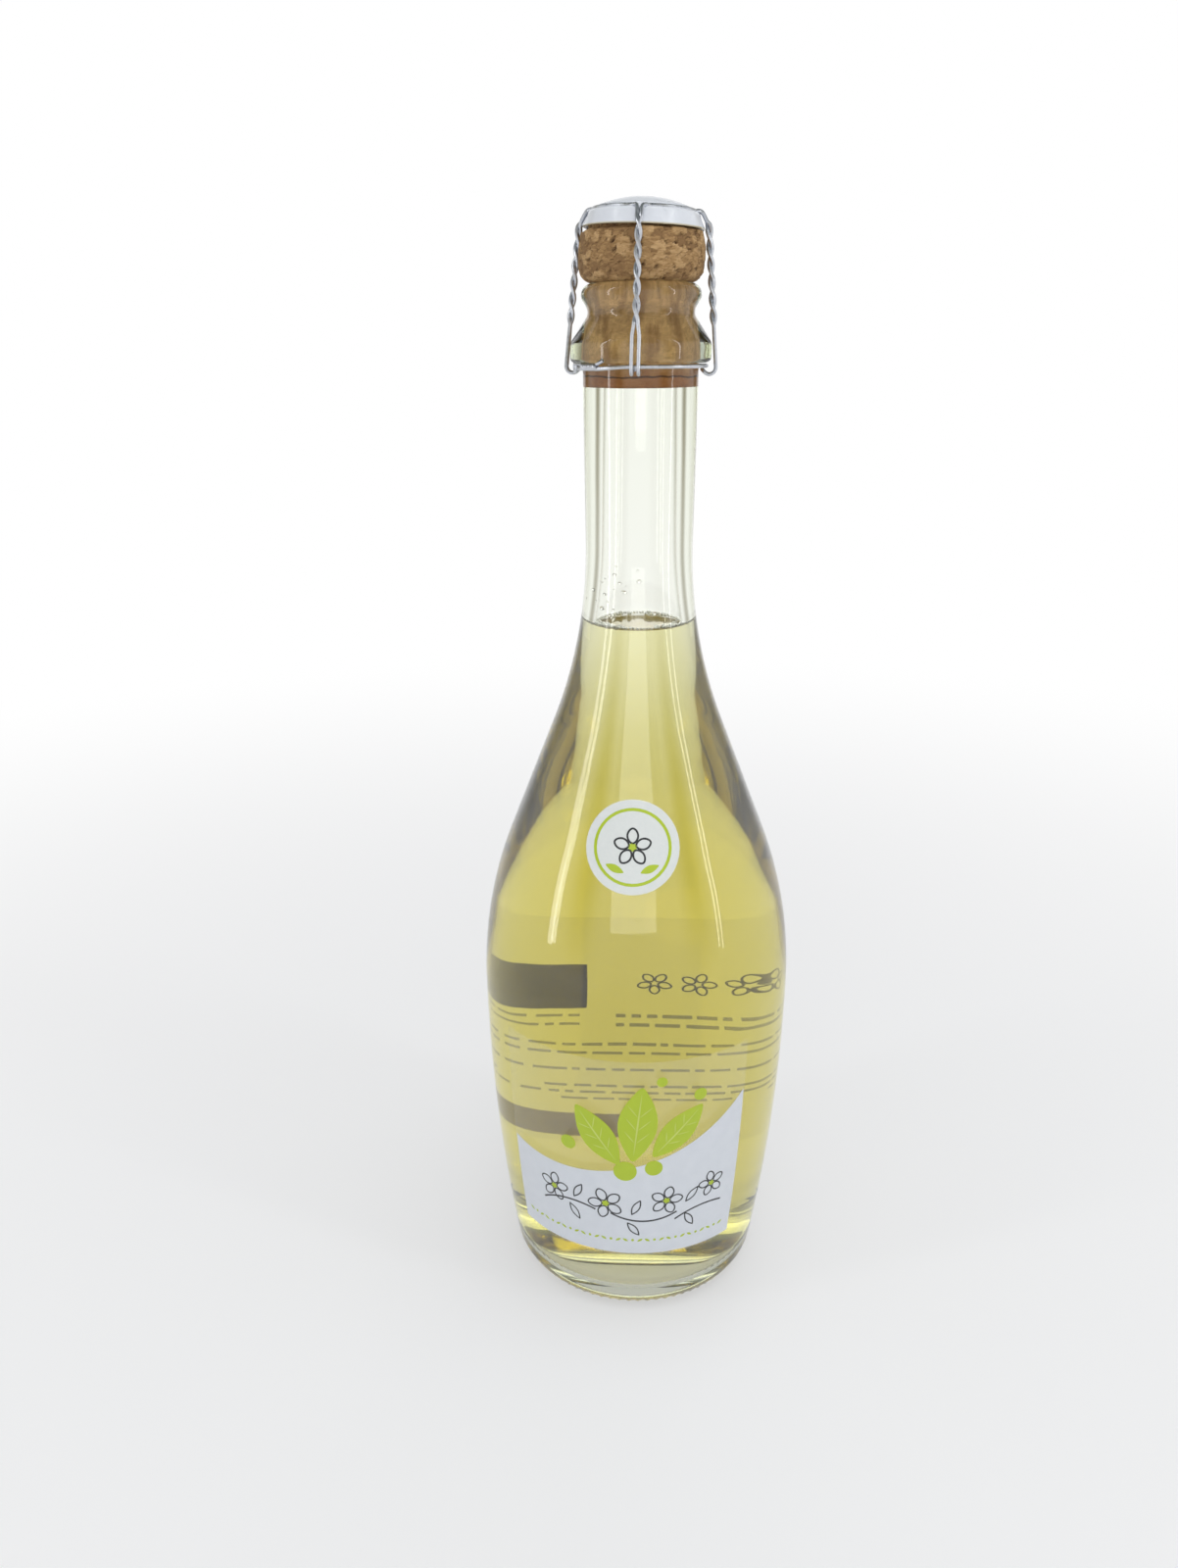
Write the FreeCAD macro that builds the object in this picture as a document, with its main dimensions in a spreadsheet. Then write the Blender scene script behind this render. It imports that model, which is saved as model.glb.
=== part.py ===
"""A 750 ml sparkling cocktail bottle: glass, drink, mushroom cork, wire cage and labels.

The frame is +Z up, in millimetres, with the origin on the axis at the bearing ring.
The bottle's front faces -Y. All sizes are cells of the sheet "Dims".
"""
import FreeCAD, Part
import math
import os
import Sketcher

Vector = FreeCAD.Vector
Rotation = FreeCAD.Rotation
Placement = FreeCAD.Placement
UP = Vector(0, 0, 1)
FRONT = -90.0

DIMENSIONS = {
    # outside of the glass, from the bearing ring up to the neck
    "punt_height": 12.0,
    "foot_inner": 28.0,
    "heel_round": 8.0,
    "low_bow": 580.0,
    "belly_radius": 45.0,
    "belly_height": 96.5,
    "shoulder_bow": 125.0,
    "throat_bow": 130.0,
    "neck_radius": 14.2,
    "neck_height": 223.0,
    # outside of the finish: collar ring, waist and lip
    "collar_neck": 14.7,
    "collar_bottom": 268.5,
    "collar_radius": 17.75,
    "collar_edge": 1.2,
    "collar_top": 272.4,
    "collar_shoulder": 3.0,
    "waist_radius": 13.4,
    "waist_height": 280.4,
    "waist_round": 2.4,
    "lip_radius": 15.0,
    "lip_round": 2.6,
    "glass_height": 287.0,
    # inside of the glass
    "floor_thickness": 4.5,
    "floor_foot": 27.0,
    "floor_low": 5.5,
    "inner_heel": 9.0,
    "wall": 3.05,
    "neck_wall": 4.3,
    "bore_radius": 9.9,
    "bore_height": 226.0,
    "mouth_radius": 9.2,
    "mouth_round": 1.0,
    # drink and cork
    "fill_height": 202.0,
    "cork_bottom": 262.7,
    "cork_round": 3.7,
    "cork_bow": 20.0,
    "cork_radius": 15.7,
    "cork_middle": 293.0,
    "cork_step": 298.4,
    "cork_neck": 13.7,
    "cork_neck_bottom": 299.2,
    "cork_top": 301.3,
    # tinplate cap, measured up from its skirt's edge
    "cap_height": 299.3,
    "cap_tilt": 2.0,
    "cap_shift": 0.45,
    "sheet_metal": 0.35,
    "skirt_radius": 14.95,
    "skirt_top": 2.6,
    "skirt_top_radius": 14.5,
    "cap_shoulder": 1.1,
    "cap_underside": 2.6,
    "groove_outer": 12.95,
    "groove_inner": 12.05,
    "groove_floor": 3.4,
    "dome_radius": 11.7,
    "dome_edge": 3.9,
    "dome_height": 7.0,
    # wire cage
    "wire_radius": 0.48,
    "pair_radius": 0.68,
    "cage_turn": -6.8,
    "cage_lean": 0.8,
    "ring_radius": 12.5,
    "leg_start": 13.0,
    "leg_bend": 1.4,
    "leg_top_radius": 15.35,
    "leg_foot_radius": 18.9,
    "hook_round": 1.6,
    "hook_height": 267.6,
    "hook_end": 266.8,
    "belt_radius": 16.6,
    "belt_height": 267.75,
    "twist_start": -78.0,
    "twist_span": 36.0,
    "eye_radius": 0.7,
    "eye_place": 17.4,
    "eye_height": 267.3,
    # labels, all clear film or paper of one thickness
    "label_thickness": 0.12,
    "front_bottom": 23.5,
    "front_top": 92.0,
    "front_turn": -7.0,
    "front_span": 97.0,
    "back_bottom": 25.0,
    "back_top": 95.0,
    "back_turn": 173.0,
    "back_span": 110.0,
    "seal_height": 149.8,
    "seal_turn": -4.3,
    "seal_radius": 12.5,
    "seal_band": 15.0,
    "seal_span": 70.0,
}

LEG_TURNS = {"front": 0.0, "right": 90.0, "back": 180.0, "left": 270.0}

SUBPARTS = ["bottle_glass", "drink", "cork", "cap_plate", "cage_ring", "cage_belt",
            "front_label", "back_label", "neck_seal"]
SUBPARTS += ["cage_leg_" + side for side in LEG_TURNS]

doc = FreeCAD.newDocument("bottle")
sheet = doc.addObject("Spreadsheet::Sheet", "Dims")


def fill_sheet():
    """Writes the driving dimensions down the sheet, one row each."""
    for row, (alias, value) in enumerate(DIMENSIONS.items(), start=1):
        sheet.set("A%d" % row, alias)
        sheet.set("B%d" % row, str(value))
        sheet.setAlias("B%d" % row, alias)
    doc.recompute()


def dim(alias):
    """The value of one cell, for working out where geometry starts."""
    return float(sheet.get(alias))


def bound(expression):
    """An expression over cell names, such as "a - b", as FreeCAD reads it."""
    words = []
    for word in expression.split():
        words.append("Dims." + word if word in DIMENSIONS else word)
    return " ".join(words)


def new_object(kind, label, **sizes):
    """A document object with its sizes bound to expressions over cell names."""
    made = doc.addObject(kind, label)
    made.Label = label
    for name, expression in sizes.items():
        made.setExpression(name, bound(expression))
    return made


def new_sketch(body, name, role):
    """A sketch on one of the body's own origin planes."""
    sketch = body.newObject("Sketcher::SketchObject", name)
    plane = [item for item in body.Origin.OriginFeatures if item.Role == role][0]
    sketch.AttachmentSupport = (plane, [""])
    sketch.MapMode = "FlatFace"
    return sketch


class Outline:
    """A line drawn piece by piece in a radius and height sketch, each piece joined to the last."""

    START, END, CENTRE = 1, 2, 3
    FLAT_AXIS, UPRIGHT_AXIS = -1, -2

    def __init__(self, sketch, start):
        self.sketch = sketch
        self.point = start
        self.pieces = []

    def straight(self, end, smooth=False):
        """A straight from the last point to the end."""
        line = Part.LineSegment(Vector(*self.point, 0), Vector(*end, 0))
        self._add(line, Outline.START, Outline.END, end, smooth)

    def bend(self, centre, end, clockwise=False, smooth=False):
        """An arc round the centre, from the last point to the end."""
        first, last = (end, self.point) if clockwise else (self.point, end)
        begin = math.atan2(first[1] - centre[1], first[0] - centre[0])
        finish = math.atan2(last[1] - centre[1], last[0] - centre[0])
        circle = Part.Circle(Vector(*centre, 0), UP, math.dist(centre, end))
        arc = Part.ArcOfCircle(circle, begin, finish if finish > begin else finish + 2 * math.pi)
        ends = (Outline.END, Outline.START) if clockwise else (Outline.START, Outline.END)
        self._add(arc, ends[0], ends[1], end, smooth)

    def _add(self, geometry, first, last, end, smooth):
        index = self.sketch.addGeometry(geometry)
        if self.pieces:
            kind = "Tangent" if smooth else "Coincident"
            self._say(kind, self.pieces[-1][0], self.pieces[-1][2], index, first)
        self.pieces.append((index, first, last))
        self.point = end

    def close(self):
        """Joins the last piece to the first."""
        self._say("Coincident", self.pieces[-1][0], self.pieces[-1][2],
                  self.pieces[0][0], self.pieces[0][1])

    def _say(self, kind, *values, size=None):
        index = self.sketch.addConstraint(Sketcher.Constraint(kind, *values))
        if size is not None:
            self.sketch.setExpression("Constraints[%d]" % index, bound(size))

    def end_at(self, radius=None, height=None):
        """Binds the end of the last piece to a radius, a height or both."""
        self._place(self.pieces[-1][0], self.pieces[-1][2], self.point, radius, height)

    def start_at(self, point, radius=None, height=None):
        """Binds the start of the first piece."""
        self._place(self.pieces[0][0], self.pieces[0][1], point, radius, height)

    def centre_at(self, point, radius=None, height=None):
        """Binds the centre of the last arc."""
        self._place(self.pieces[-1][0], Outline.CENTRE, point, radius, height)

    def _place(self, index, where, point, radius, height):
        if radius == "axis":
            self._say("PointOnObject", index, where, Outline.UPRIGHT_AXIS)
        elif radius:
            self._say("DistanceX", index, where, point[0], size=radius)
        if height == "ground":
            self._say("PointOnObject", index, where, Outline.FLAT_AXIS)
        elif height:
            self._say("DistanceY", index, where, point[1], size=height)

    def round_by(self, radius, value):
        """Binds the radius of the last arc."""
        self._say("Radius", self.pieces[-1][0], value, size=radius)

    def level(self):
        """Keeps the last straight horizontal."""
        self._say("Horizontal", self.pieces[-1][0])

    def upright(self):
        """Keeps the last straight vertical."""
        self._say("Vertical", self.pieces[-1][0])


def cross_tangent(convex, convex_radius, concave, concave_radius):
    """Where one straight touches a convex arc and the concave arc that follows or precedes it."""
    across = (concave[0] - convex[0], concave[1] - convex[1])
    reach = math.hypot(*across)
    spread = math.acos((convex_radius + concave_radius) / reach)
    angle = math.atan2(across[1], across[0]) - math.copysign(spread, across[1])
    normal = (math.cos(angle), math.sin(angle))
    on_convex = (convex[0] + convex_radius * normal[0], convex[1] + convex_radius * normal[1])
    on_concave = (concave[0] - concave_radius * normal[0], concave[1] - concave_radius * normal[1])
    return on_convex, on_concave


def dome_centre(edge_radius, edge_height, top_height):
    """The centre, on the axis, of the arc from a dome's top down to its edge."""
    rise = top_height - edge_height
    curve = (edge_radius ** 2 + rise ** 2) / (2 * rise)
    return (0.0, top_height - curve)


def inner_touch(centre, radius, small_radius, small_height):
    """A small circle at a height, inside and touching a large one: its centre and the touch."""
    reach = math.sqrt((radius - small_radius) ** 2 - (centre[1] - small_height) ** 2)
    small = (centre[0] + reach, small_height)
    scale = radius / (radius - small_radius)
    touch = (centre[0] + reach * scale, centre[1] + (small_height - centre[1]) * scale)
    return small, touch


def revolve(body, sketch, span=None):
    """Turns a radius and height sketch about the axis, all round or through a span."""
    turned = body.newObject("PartDesign::Revolution", body.Name + "_turned")
    turned.Profile = sketch
    turned.ReferenceAxis = (sketch, ["V_Axis"])
    turned.Angle = 360.0
    if span:
        turned.Midplane = True
        turned.setExpression("Angle", bound(span))
    return turned


def body_profile(line, wall, neck_wall):
    """Draws the belly, shoulder and throat: two arcs and the straight that both touch."""
    inset = dim(wall) if wall else 0.0
    belly = dim("belly_radius") - inset
    shoulder = dim("shoulder_bow") - inset
    throat = dim("throat_bow") + (dim(neck_wall) if wall else 0.0)
    neck = (dim("bore_radius"), dim("bore_height")) if wall else (dim("neck_radius"), dim("neck_height"))
    less = " - " + wall if wall else ""
    more = " + " + neck_wall if wall else ""
    belly_height = dim("belly_height")
    shoulder_centre = (belly - shoulder, belly_height)
    throat_centre = (neck[0] + throat, neck[1])
    top, bottom = cross_tangent(shoulder_centre, shoulder, throat_centre, throat)
    line.end_at("belly_radius" + less, "belly_height")
    line.bend(shoulder_centre, top, smooth=True)
    line.round_by("shoulder_bow" + less, shoulder)
    line.straight(bottom, smooth=True)
    line.bend(throat_centre, neck, clockwise=True, smooth=True)
    line.round_by("throat_bow" + more, throat)
    line.centre_at(throat_centre, height="bore_height" if wall else "neck_height")
    line.end_at("bore_radius" if wall else "neck_radius", "bore_height" if wall else "neck_height")


def finish_profile(line):
    """Draws the neck, collar ring, waist and lip up to the flat top."""
    collar, edge = dim("collar_radius"), dim("collar_edge")
    bottom, top = dim("collar_bottom"), dim("collar_top")
    line.straight((dim("collar_neck"), bottom))
    line.end_at("collar_neck", "collar_bottom")
    line.straight((collar - edge, bottom))
    line.level()
    line.bend((collar - edge, bottom + edge), (collar, bottom + edge), smooth=True)
    line.round_by("collar_edge", edge)
    line.straight((collar, top), smooth=True)
    line.upright()
    line.end_at("collar_radius", "collar_top")

    shoulder = dim("collar_shoulder")
    waist_round = dim("waist_round")
    lip_round = dim("lip_round")
    shoulder_centre = (collar - shoulder, top)
    waist_centre = (dim("waist_radius") + waist_round, dim("waist_height"))
    lip_centre = (dim("lip_radius") - lip_round, dim("glass_height") - lip_round)
    leave, meet = cross_tangent(shoulder_centre, shoulder, waist_centre, waist_round)
    under_lip, from_waist = cross_tangent(lip_centre, lip_round, waist_centre, waist_round)
    line.bend(shoulder_centre, leave, smooth=True)
    line.round_by("collar_shoulder", shoulder)
    line.straight(meet, smooth=True)
    line.bend(waist_centre, from_waist, clockwise=True, smooth=True)
    line.round_by("waist_round", waist_round)
    line.centre_at(waist_centre, "waist_radius + waist_round", "waist_height")
    line.straight(under_lip, smooth=True)
    line.bend(lip_centre, (lip_centre[0], dim("glass_height")), smooth=True)
    line.round_by("lip_round", lip_round)
    line.centre_at(lip_centre, radius="lip_radius - lip_round")
    line.straight((0.0, dim("glass_height")), smooth=True)
    line.level()
    line.end_at("axis", "glass_height")


def make_envelope():
    """The bottle's outside as a solid of revolution, with the punt under its base."""
    body = doc.addObject("PartDesign::Body", "envelope")
    start = (0.0, dim("punt_height"))
    line = Outline(new_sketch(body, "envelope_outline", "XZ_Plane"), start)
    line.bend(dome_centre(dim("foot_inner"), 0.0, dim("punt_height")), (dim("foot_inner"), 0.0),
              clockwise=True)
    line.centre_at(start, radius="axis")
    line.start_at(start, "axis", "punt_height")
    line.end_at("foot_inner", "ground")
    low = (dim("belly_radius") - dim("low_bow"), dim("belly_height"))
    heel, touch = inner_touch(low, dim("low_bow"), dim("heel_round"), dim("heel_round"))
    line.straight((heel[0], 0.0))
    line.level()
    line.bend(heel, touch, smooth=True)
    line.round_by("heel_round", dim("heel_round"))
    line.bend(low, (dim("belly_radius"), dim("belly_height")), smooth=True)
    line.round_by("low_bow", dim("low_bow"))
    line.centre_at(low, height="belly_height")
    body_profile(line, None, None)
    finish_profile(line)
    line.straight(start)
    line.close()
    revolve(body, line.sketch)
    return body


def make_cavity():
    """The hollow inside the glass, from the floor over the punt up to the mouth."""
    body = doc.addObject("PartDesign::Body", "cavity")
    floor_top = dim("punt_height") + dim("floor_thickness")
    start = (0.0, floor_top)
    foot = (dim("floor_foot"), dim("floor_low"))
    line = Outline(new_sketch(body, "cavity_outline", "XZ_Plane"), start)
    line.bend(dome_centre(*foot, floor_top), foot, clockwise=True)
    line.centre_at(start, radius="axis")
    line.start_at(start, "axis", "punt_height + floor_thickness")
    line.end_at("floor_foot", "floor_low")
    bow = dim("low_bow") - dim("wall")
    low = (dim("belly_radius") - dim("low_bow"), dim("belly_height"))
    heel = meet_circles(low, bow - dim("inner_heel"), foot, dim("inner_heel"))
    away = math.dist(low, heel)
    touch = tuple(low[i] + (heel[i] - low[i]) * bow / away for i in range(2))
    line.bend(heel, touch)
    line.round_by("inner_heel", dim("inner_heel"))
    line.bend(low, (dim("belly_radius") - dim("wall"), dim("belly_height")), smooth=True)
    line.round_by("low_bow - wall", bow)
    line.centre_at(low, height="belly_height")
    body_profile(line, "wall", "neck_wall")
    mouth, lip = dim("mouth_radius"), dim("mouth_round")
    top = dim("glass_height")
    line.straight((mouth, top - lip))
    line.end_at("mouth_radius", "glass_height - mouth_round")
    line.bend((mouth + lip, top - lip), (mouth + lip, top), clockwise=True)
    line.round_by("mouth_round", lip)
    line.end_at("mouth_radius + mouth_round", "glass_height")
    line.straight((0.0, top))
    line.level()
    line.end_at("axis")
    line.straight(start)
    line.close()
    revolve(body, line.sketch)
    return body


def meet_circles(first, first_radius, second, second_radius):
    """The outer of the two points where two circles cross."""
    gap = math.dist(first, second)
    along = (first_radius ** 2 - second_radius ** 2 + gap ** 2) / (2 * gap)
    aside = math.sqrt(first_radius ** 2 - along ** 2)
    way = ((second[0] - first[0]) / gap, (second[1] - first[1]) / gap)
    base = (first[0] + along * way[0], first[1] + along * way[1])
    sides = [(base[0] - sign * aside * way[1], base[1] + sign * aside * way[0]) for sign in (1, -1)]
    return max(sides, key=lambda point: point[1])


def make_glass(envelope, cavity):
    """The glass is the envelope less the cavity."""
    glass = new_object("Part::Cut", "bottle_glass")
    glass.Base = envelope
    glass.Tool = cavity
    return glass


def make_drink(cavity):
    """The drink fills the cavity up to its level."""
    fill = new_object("Part::Cylinder", "fill", Radius="belly_radius", Height="fill_height")
    drink = new_object("Part::Common", "drink")
    drink.Base = cavity
    drink.Tool = fill
    return drink


def make_cork(cavity):
    """The cork: a shank squeezed to the bore's shape under a mushroom head on the lip."""
    zone = new_object("Part::Cylinder", "shank_zone", Radius="collar_radius",
                      Height="glass_height - cork_bottom")
    zone.setExpression("Placement.Base.z", bound("cork_bottom"))
    shank = new_object("Part::Common", "cork_shank")
    shank.Base = cavity
    shank.Tool = zone
    cork = new_object("Part::Fuse", "cork")
    cork.Base = make_cork_head()
    cork.Tool = shank
    return cork


def make_cork_head():
    """The barrel-sided head, stepped in at the top where the cap's skirt comes over it."""
    body = doc.addObject("PartDesign::Body", "cork_head")
    seat, middle = dim("glass_height"), dim("cork_middle")
    bow, small = dim("cork_bow"), dim("cork_round")
    start = (0.0, seat)
    barrel = (dim("cork_radius") - bow, middle)
    corner, touch = inner_touch(barrel, bow, small, seat + small)
    line = Outline(new_sketch(body, "cork_outline", "XZ_Plane"), start)
    line.straight((corner[0], seat))
    line.level()
    line.start_at(start, "axis", "glass_height")
    line.bend(corner, touch, smooth=True)
    line.round_by("cork_round", small)
    step = dim("cork_step")
    step_radius = barrel[0] + math.sqrt(bow ** 2 - (step - middle) ** 2)
    line.bend(barrel, (step_radius, step), smooth=True)
    line.round_by("cork_bow", bow)
    line.centre_at(barrel, "cork_radius - cork_bow", "cork_middle")
    line.end_at(height="cork_step")
    line.straight((dim("cork_neck"), dim("cork_neck_bottom")))
    line.end_at("cork_neck", "cork_neck_bottom")
    line.straight((dim("cork_neck"), dim("cork_top")))
    line.end_at("cork_neck", "cork_top")
    line.straight((0.0, dim("cork_top")))
    line.end_at("axis", "cork_top")
    line.straight(start)
    line.close()
    revolve(body, line.sketch)
    return body


def cap_place():
    """Where the cap sits: a little askew on the cork's top."""
    tilt = Rotation(Vector(0, 1, 0), dim("cap_tilt"))
    return Placement(Vector(dim("cap_shift"), 0, dim("cap_height")), tilt)


def make_cap():
    """The tinplate cap: flared skirt, rolled shoulder, groove for the wire and a low dome."""
    body = doc.addObject("PartDesign::Body", "cap_plate")
    under = dim("cap_underside")
    shoulder = dim("cap_shoulder")
    skirt_top, top_radius = dim("skirt_top"), dim("skirt_top_radius")
    start = (0.0, under)
    line = Outline(new_sketch(body, "cap_outline", "XZ_Plane"), start)
    line.straight((top_radius - dim("sheet_metal"), under))
    line.start_at(start, "axis", "cap_underside")
    line.end_at("skirt_top_radius - sheet_metal", "cap_underside")
    line.straight((dim("skirt_radius") - dim("sheet_metal"), 0.0))
    line.end_at("skirt_radius - sheet_metal", "ground")
    line.straight((dim("skirt_radius"), 0.0))
    line.end_at("skirt_radius", "ground")
    line.straight((top_radius, skirt_top))
    line.end_at("skirt_top_radius", "skirt_top")
    line.bend((top_radius - shoulder, skirt_top), (top_radius - shoulder, skirt_top + shoulder))
    line.round_by("cap_shoulder", shoulder)
    line.end_at("skirt_top_radius - cap_shoulder", "skirt_top + cap_shoulder")
    for radius, height in [("groove_outer", "groove_floor"), ("groove_inner", "groove_floor"),
                           ("dome_radius", "dome_edge")]:
        line.straight((dim(radius), dim(height)))
        line.end_at(radius, height)
    peak = (0.0, dim("dome_height"))
    line.bend(dome_centre(dim("dome_radius"), dim("dome_edge"), dim("dome_height")), peak)
    line.centre_at(peak, radius="axis")
    line.end_at("axis", "dome_height")
    line.straight(start)
    line.close()
    revolve(body, line.sketch)
    body.Placement = cap_place()
    return body


def make_cage_ring():
    """The cage's top ring, a wire that lies in the cap's groove."""
    ring = new_object("Part::Torus", "cage_ring", Radius1="ring_radius", Radius2="wire_radius")
    lift = Placement(Vector(0, 0, dim("groove_floor") + dim("wire_radius")), Rotation())
    ring.Placement = cap_place().multiply(lift)
    return ring


def cage_place(turn):
    """Where a leg stands: turned about the axis, then leaning with the cage about the belt."""
    lean = Rotation(Vector(0, 1, 0), dim("cage_lean"))
    return Placement(Vector(), lean, Vector(0, 0, dim("belt_height"))).multiply(turned_by(turn))


def turned_by(turn):
    """A turn about the axis, counted from the bottle's front."""
    return Placement(Vector(), Rotation(UP, FRONT + turn))


def make_leg(side, turn):
    """One leg: a twisted pair, as a tube, from the top ring to its hook round the belt wire."""
    label = "cage_leg_" + side
    body = doc.addObject("PartDesign::Body", label)
    ring_height = dim("cap_height") + dim("skirt_top") + dim("cap_shoulder") + dim("pair_radius")
    level = "cap_height + skirt_top + cap_shoulder + pair_radius"
    start = (dim("leg_start"), ring_height)
    bend, hook = dim("leg_bend"), dim("hook_round")
    bend_centre = (dim("leg_top_radius") - bend, ring_height - bend)
    hook_centre = (dim("leg_foot_radius") - hook, dim("hook_height"))
    across = (hook_centre[0] - bend_centre[0], hook_centre[1] - bend_centre[1])
    lean = math.atan2(across[0], -across[1])
    lean += math.asin((hook - bend) / math.hypot(*across))
    out = (math.cos(lean), math.sin(lean))
    leave = (bend_centre[0] + bend * out[0], bend_centre[1] + bend * out[1])
    meet = (hook_centre[0] + hook * out[0], hook_centre[1] + hook * out[1])
    drop = dim("hook_end") - hook_centre[1]
    end = (hook_centre[0] - math.sqrt(hook ** 2 - drop ** 2), dim("hook_end"))
    path = Outline(new_sketch(body, label + "_path", "XZ_Plane"), start)
    path.straight((bend_centre[0], ring_height))
    path.level()
    path.start_at(start, "leg_start", level)
    path.bend(bend_centre, leave, clockwise=True, smooth=True)
    path.round_by("leg_bend", bend)
    path.centre_at(bend_centre, radius="leg_top_radius - leg_bend")
    path.straight(meet, smooth=True)
    path.bend(hook_centre, end, clockwise=True, smooth=True)
    path.round_by("hook_round", hook)
    path.centre_at(hook_centre, "leg_foot_radius - hook_round", "hook_height")
    path.end_at(height="hook_end")

    section = new_sketch(body, label + "_section", "YZ_Plane")
    section.setExpression("AttachmentOffset.Base.z", bound("leg_start"))
    circle = section.addGeometry(Part.Circle(Vector(0, ring_height, 0), UP, dim("pair_radius")))
    centre = (circle, Outline.CENTRE)
    section.addConstraint(Sketcher.Constraint("PointOnObject", *centre, Outline.UPRIGHT_AXIS))
    height = section.addConstraint(Sketcher.Constraint("DistanceY", *centre, ring_height))
    section.setExpression("Constraints[%d]" % height, bound(level))
    size = section.addConstraint(Sketcher.Constraint("Radius", circle, dim("pair_radius")))
    section.setExpression("Constraints[%d]" % size, bound("pair_radius"))
    doc.recompute()
    pipe = body.newObject("PartDesign::AdditivePipe", label + "_pipe")
    pipe.Profile = section
    pipe.Spine = (path.sketch, ["Edge%d" % (i + 1) for i in range(len(path.pieces))])
    body.Placement = cage_place(dim("cage_turn") + turn)
    return body


def make_belt():
    """The belt wire under the collar, with its closing twist and small eye at the front left."""
    belt = new_object("Part::Torus", "belt_wire", Radius1="belt_radius", Radius2="wire_radius")
    twist = new_object("Part::Torus", "belt_twist", Radius1="belt_radius", Radius2="pair_radius",
                       Angle3="twist_span")
    height = dim("belt_height")
    belt.Placement = Placement(Vector(0, 0, height), Rotation())
    start = turned_by(dim("twist_start"))
    twist.Placement = belt.Placement.multiply(start)
    eye = new_object("Part::Torus", "belt_eye", Radius1="eye_radius", Radius2="wire_radius")
    upright = Placement(Vector(dim("eye_place"), 0, dim("eye_height")), Rotation(Vector(0, 1, 0), 90))
    eye.Placement = start.multiply(upright)
    whole = new_object("Part::MultiFuse", "cage_belt")
    whole.Shapes = [belt, twist, eye]
    return whole


def make_wall_label(label, bottom, top, span, turn):
    """A film wrapped on the bottle's side between two heights below the belly."""
    body = doc.addObject("PartDesign::Body", label)
    bow, film = dim("low_bow"), dim("label_thickness")
    centre = (dim("belly_radius") - bow, dim("belly_height"))

    def on_wall(height, lift):
        reach = math.sqrt((bow + lift) ** 2 - (height - centre[1]) ** 2)
        return (centre[0] + reach, height)

    low, high = dim(bottom), dim(top)
    line = Outline(new_sketch(body, label + "_section", "XZ_Plane"), on_wall(low, 0.0))
    line.bend(centre, on_wall(high, 0.0))
    line.round_by("low_bow", bow)
    line.centre_at(centre, "belly_radius - low_bow", "belly_height")
    line.start_at(on_wall(low, 0.0), height=bottom)
    line.end_at(height=top)
    line.straight(on_wall(high, film))
    line.level()
    line.bend(centre, on_wall(low, film), clockwise=True)
    line.round_by("low_bow + label_thickness", bow + film)
    line.centre_at(centre, "belly_radius - low_bow", "belly_height")
    line.straight(on_wall(low, 0.0))
    line.level()
    line.close()
    revolve(body, line.sketch, span)
    body.Placement = turned_by(dim(turn))
    return body


def make_neck_seal():
    """The round paper seal on the shoulder: a cone of paper cut out by a cylinder."""
    shoulder_centre = (dim("belly_radius") - dim("shoulder_bow"), dim("belly_height"))
    throat_centre = (dim("neck_radius") + dim("throat_bow"), dim("neck_height"))
    low, high = cross_tangent(shoulder_centre, dim("shoulder_bow"), throat_centre, dim("throat_bow"))
    slope = math.atan2(low[0] - high[0], high[1] - low[1])
    out = (math.cos(slope), math.sin(slope))
    film, band = dim("label_thickness"), dim("seal_band")
    height = dim("seal_height")
    middle = (low[0] - (height - low[1]) * math.tan(slope), height)
    along = (-out[1] * band, out[0] * band)

    body = doc.addObject("PartDesign::Body", "seal_band")
    corners = [(middle[0] - along[0], middle[1] - along[1]), (middle[0] + along[0], middle[1] + along[1])]
    corners += [(point[0] + film * out[0], point[1] + film * out[1]) for point in reversed(corners)]
    sketch = new_sketch(body, "seal_section", "XZ_Plane")
    for first, last in zip(corners, corners[1:] + corners[:1]):
        side = sketch.addGeometry(Part.LineSegment(Vector(*first, 0), Vector(*last, 0)))
        sketch.addConstraint(Sketcher.Constraint("Block", side))
    revolve(body, sketch, "seal_span")

    punch = new_object("Part::Cylinder", "seal_punch", Radius="seal_radius", Height="seal_band")
    lean = Rotation(Vector(0, 1, 0), 90 - math.degrees(slope))
    inner = Vector(middle[0], 0, middle[1]) - Vector(out[0], 0, out[1]) * (band / 2)
    punch.Placement = Placement(inner, lean)
    seal = new_object("Part::Common", "neck_seal")
    seal.Base = body
    seal.Tool = punch
    seal.Placement = turned_by(dim("seal_turn"))
    return seal


def check_document():
    """Stops if any object failed, or a sub-part's shape isn't a valid solid."""
    for item in doc.Objects:
        bad = [word for word in item.State if word in ("Invalid", "Error")]
        if bad:
            raise RuntimeError("%s is %s" % (item.Label, bad))
    for label in SUBPARTS:
        shape = doc.getObjectsByLabel(label)[0].Shape
        if shape.isNull() or not shape.isValid() or len(shape.Solids) != 1:
            raise RuntimeError("%s has no valid single solid" % label)


def write_parts():
    """Writes each sub-part to its own STEP file."""
    os.makedirs("parts", exist_ok=True)
    for label in SUBPARTS:
        shape = doc.getObjectsByLabel(label)[0].Shape
        shape.exportStep("parts/%s.step" % label)
        box = shape.optimalBoundingBox()
        print("%-16s %9.1f mm3  z %7.2f to %7.2f" % (label, shape.Volume, box.ZMin, box.ZMax))


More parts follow.
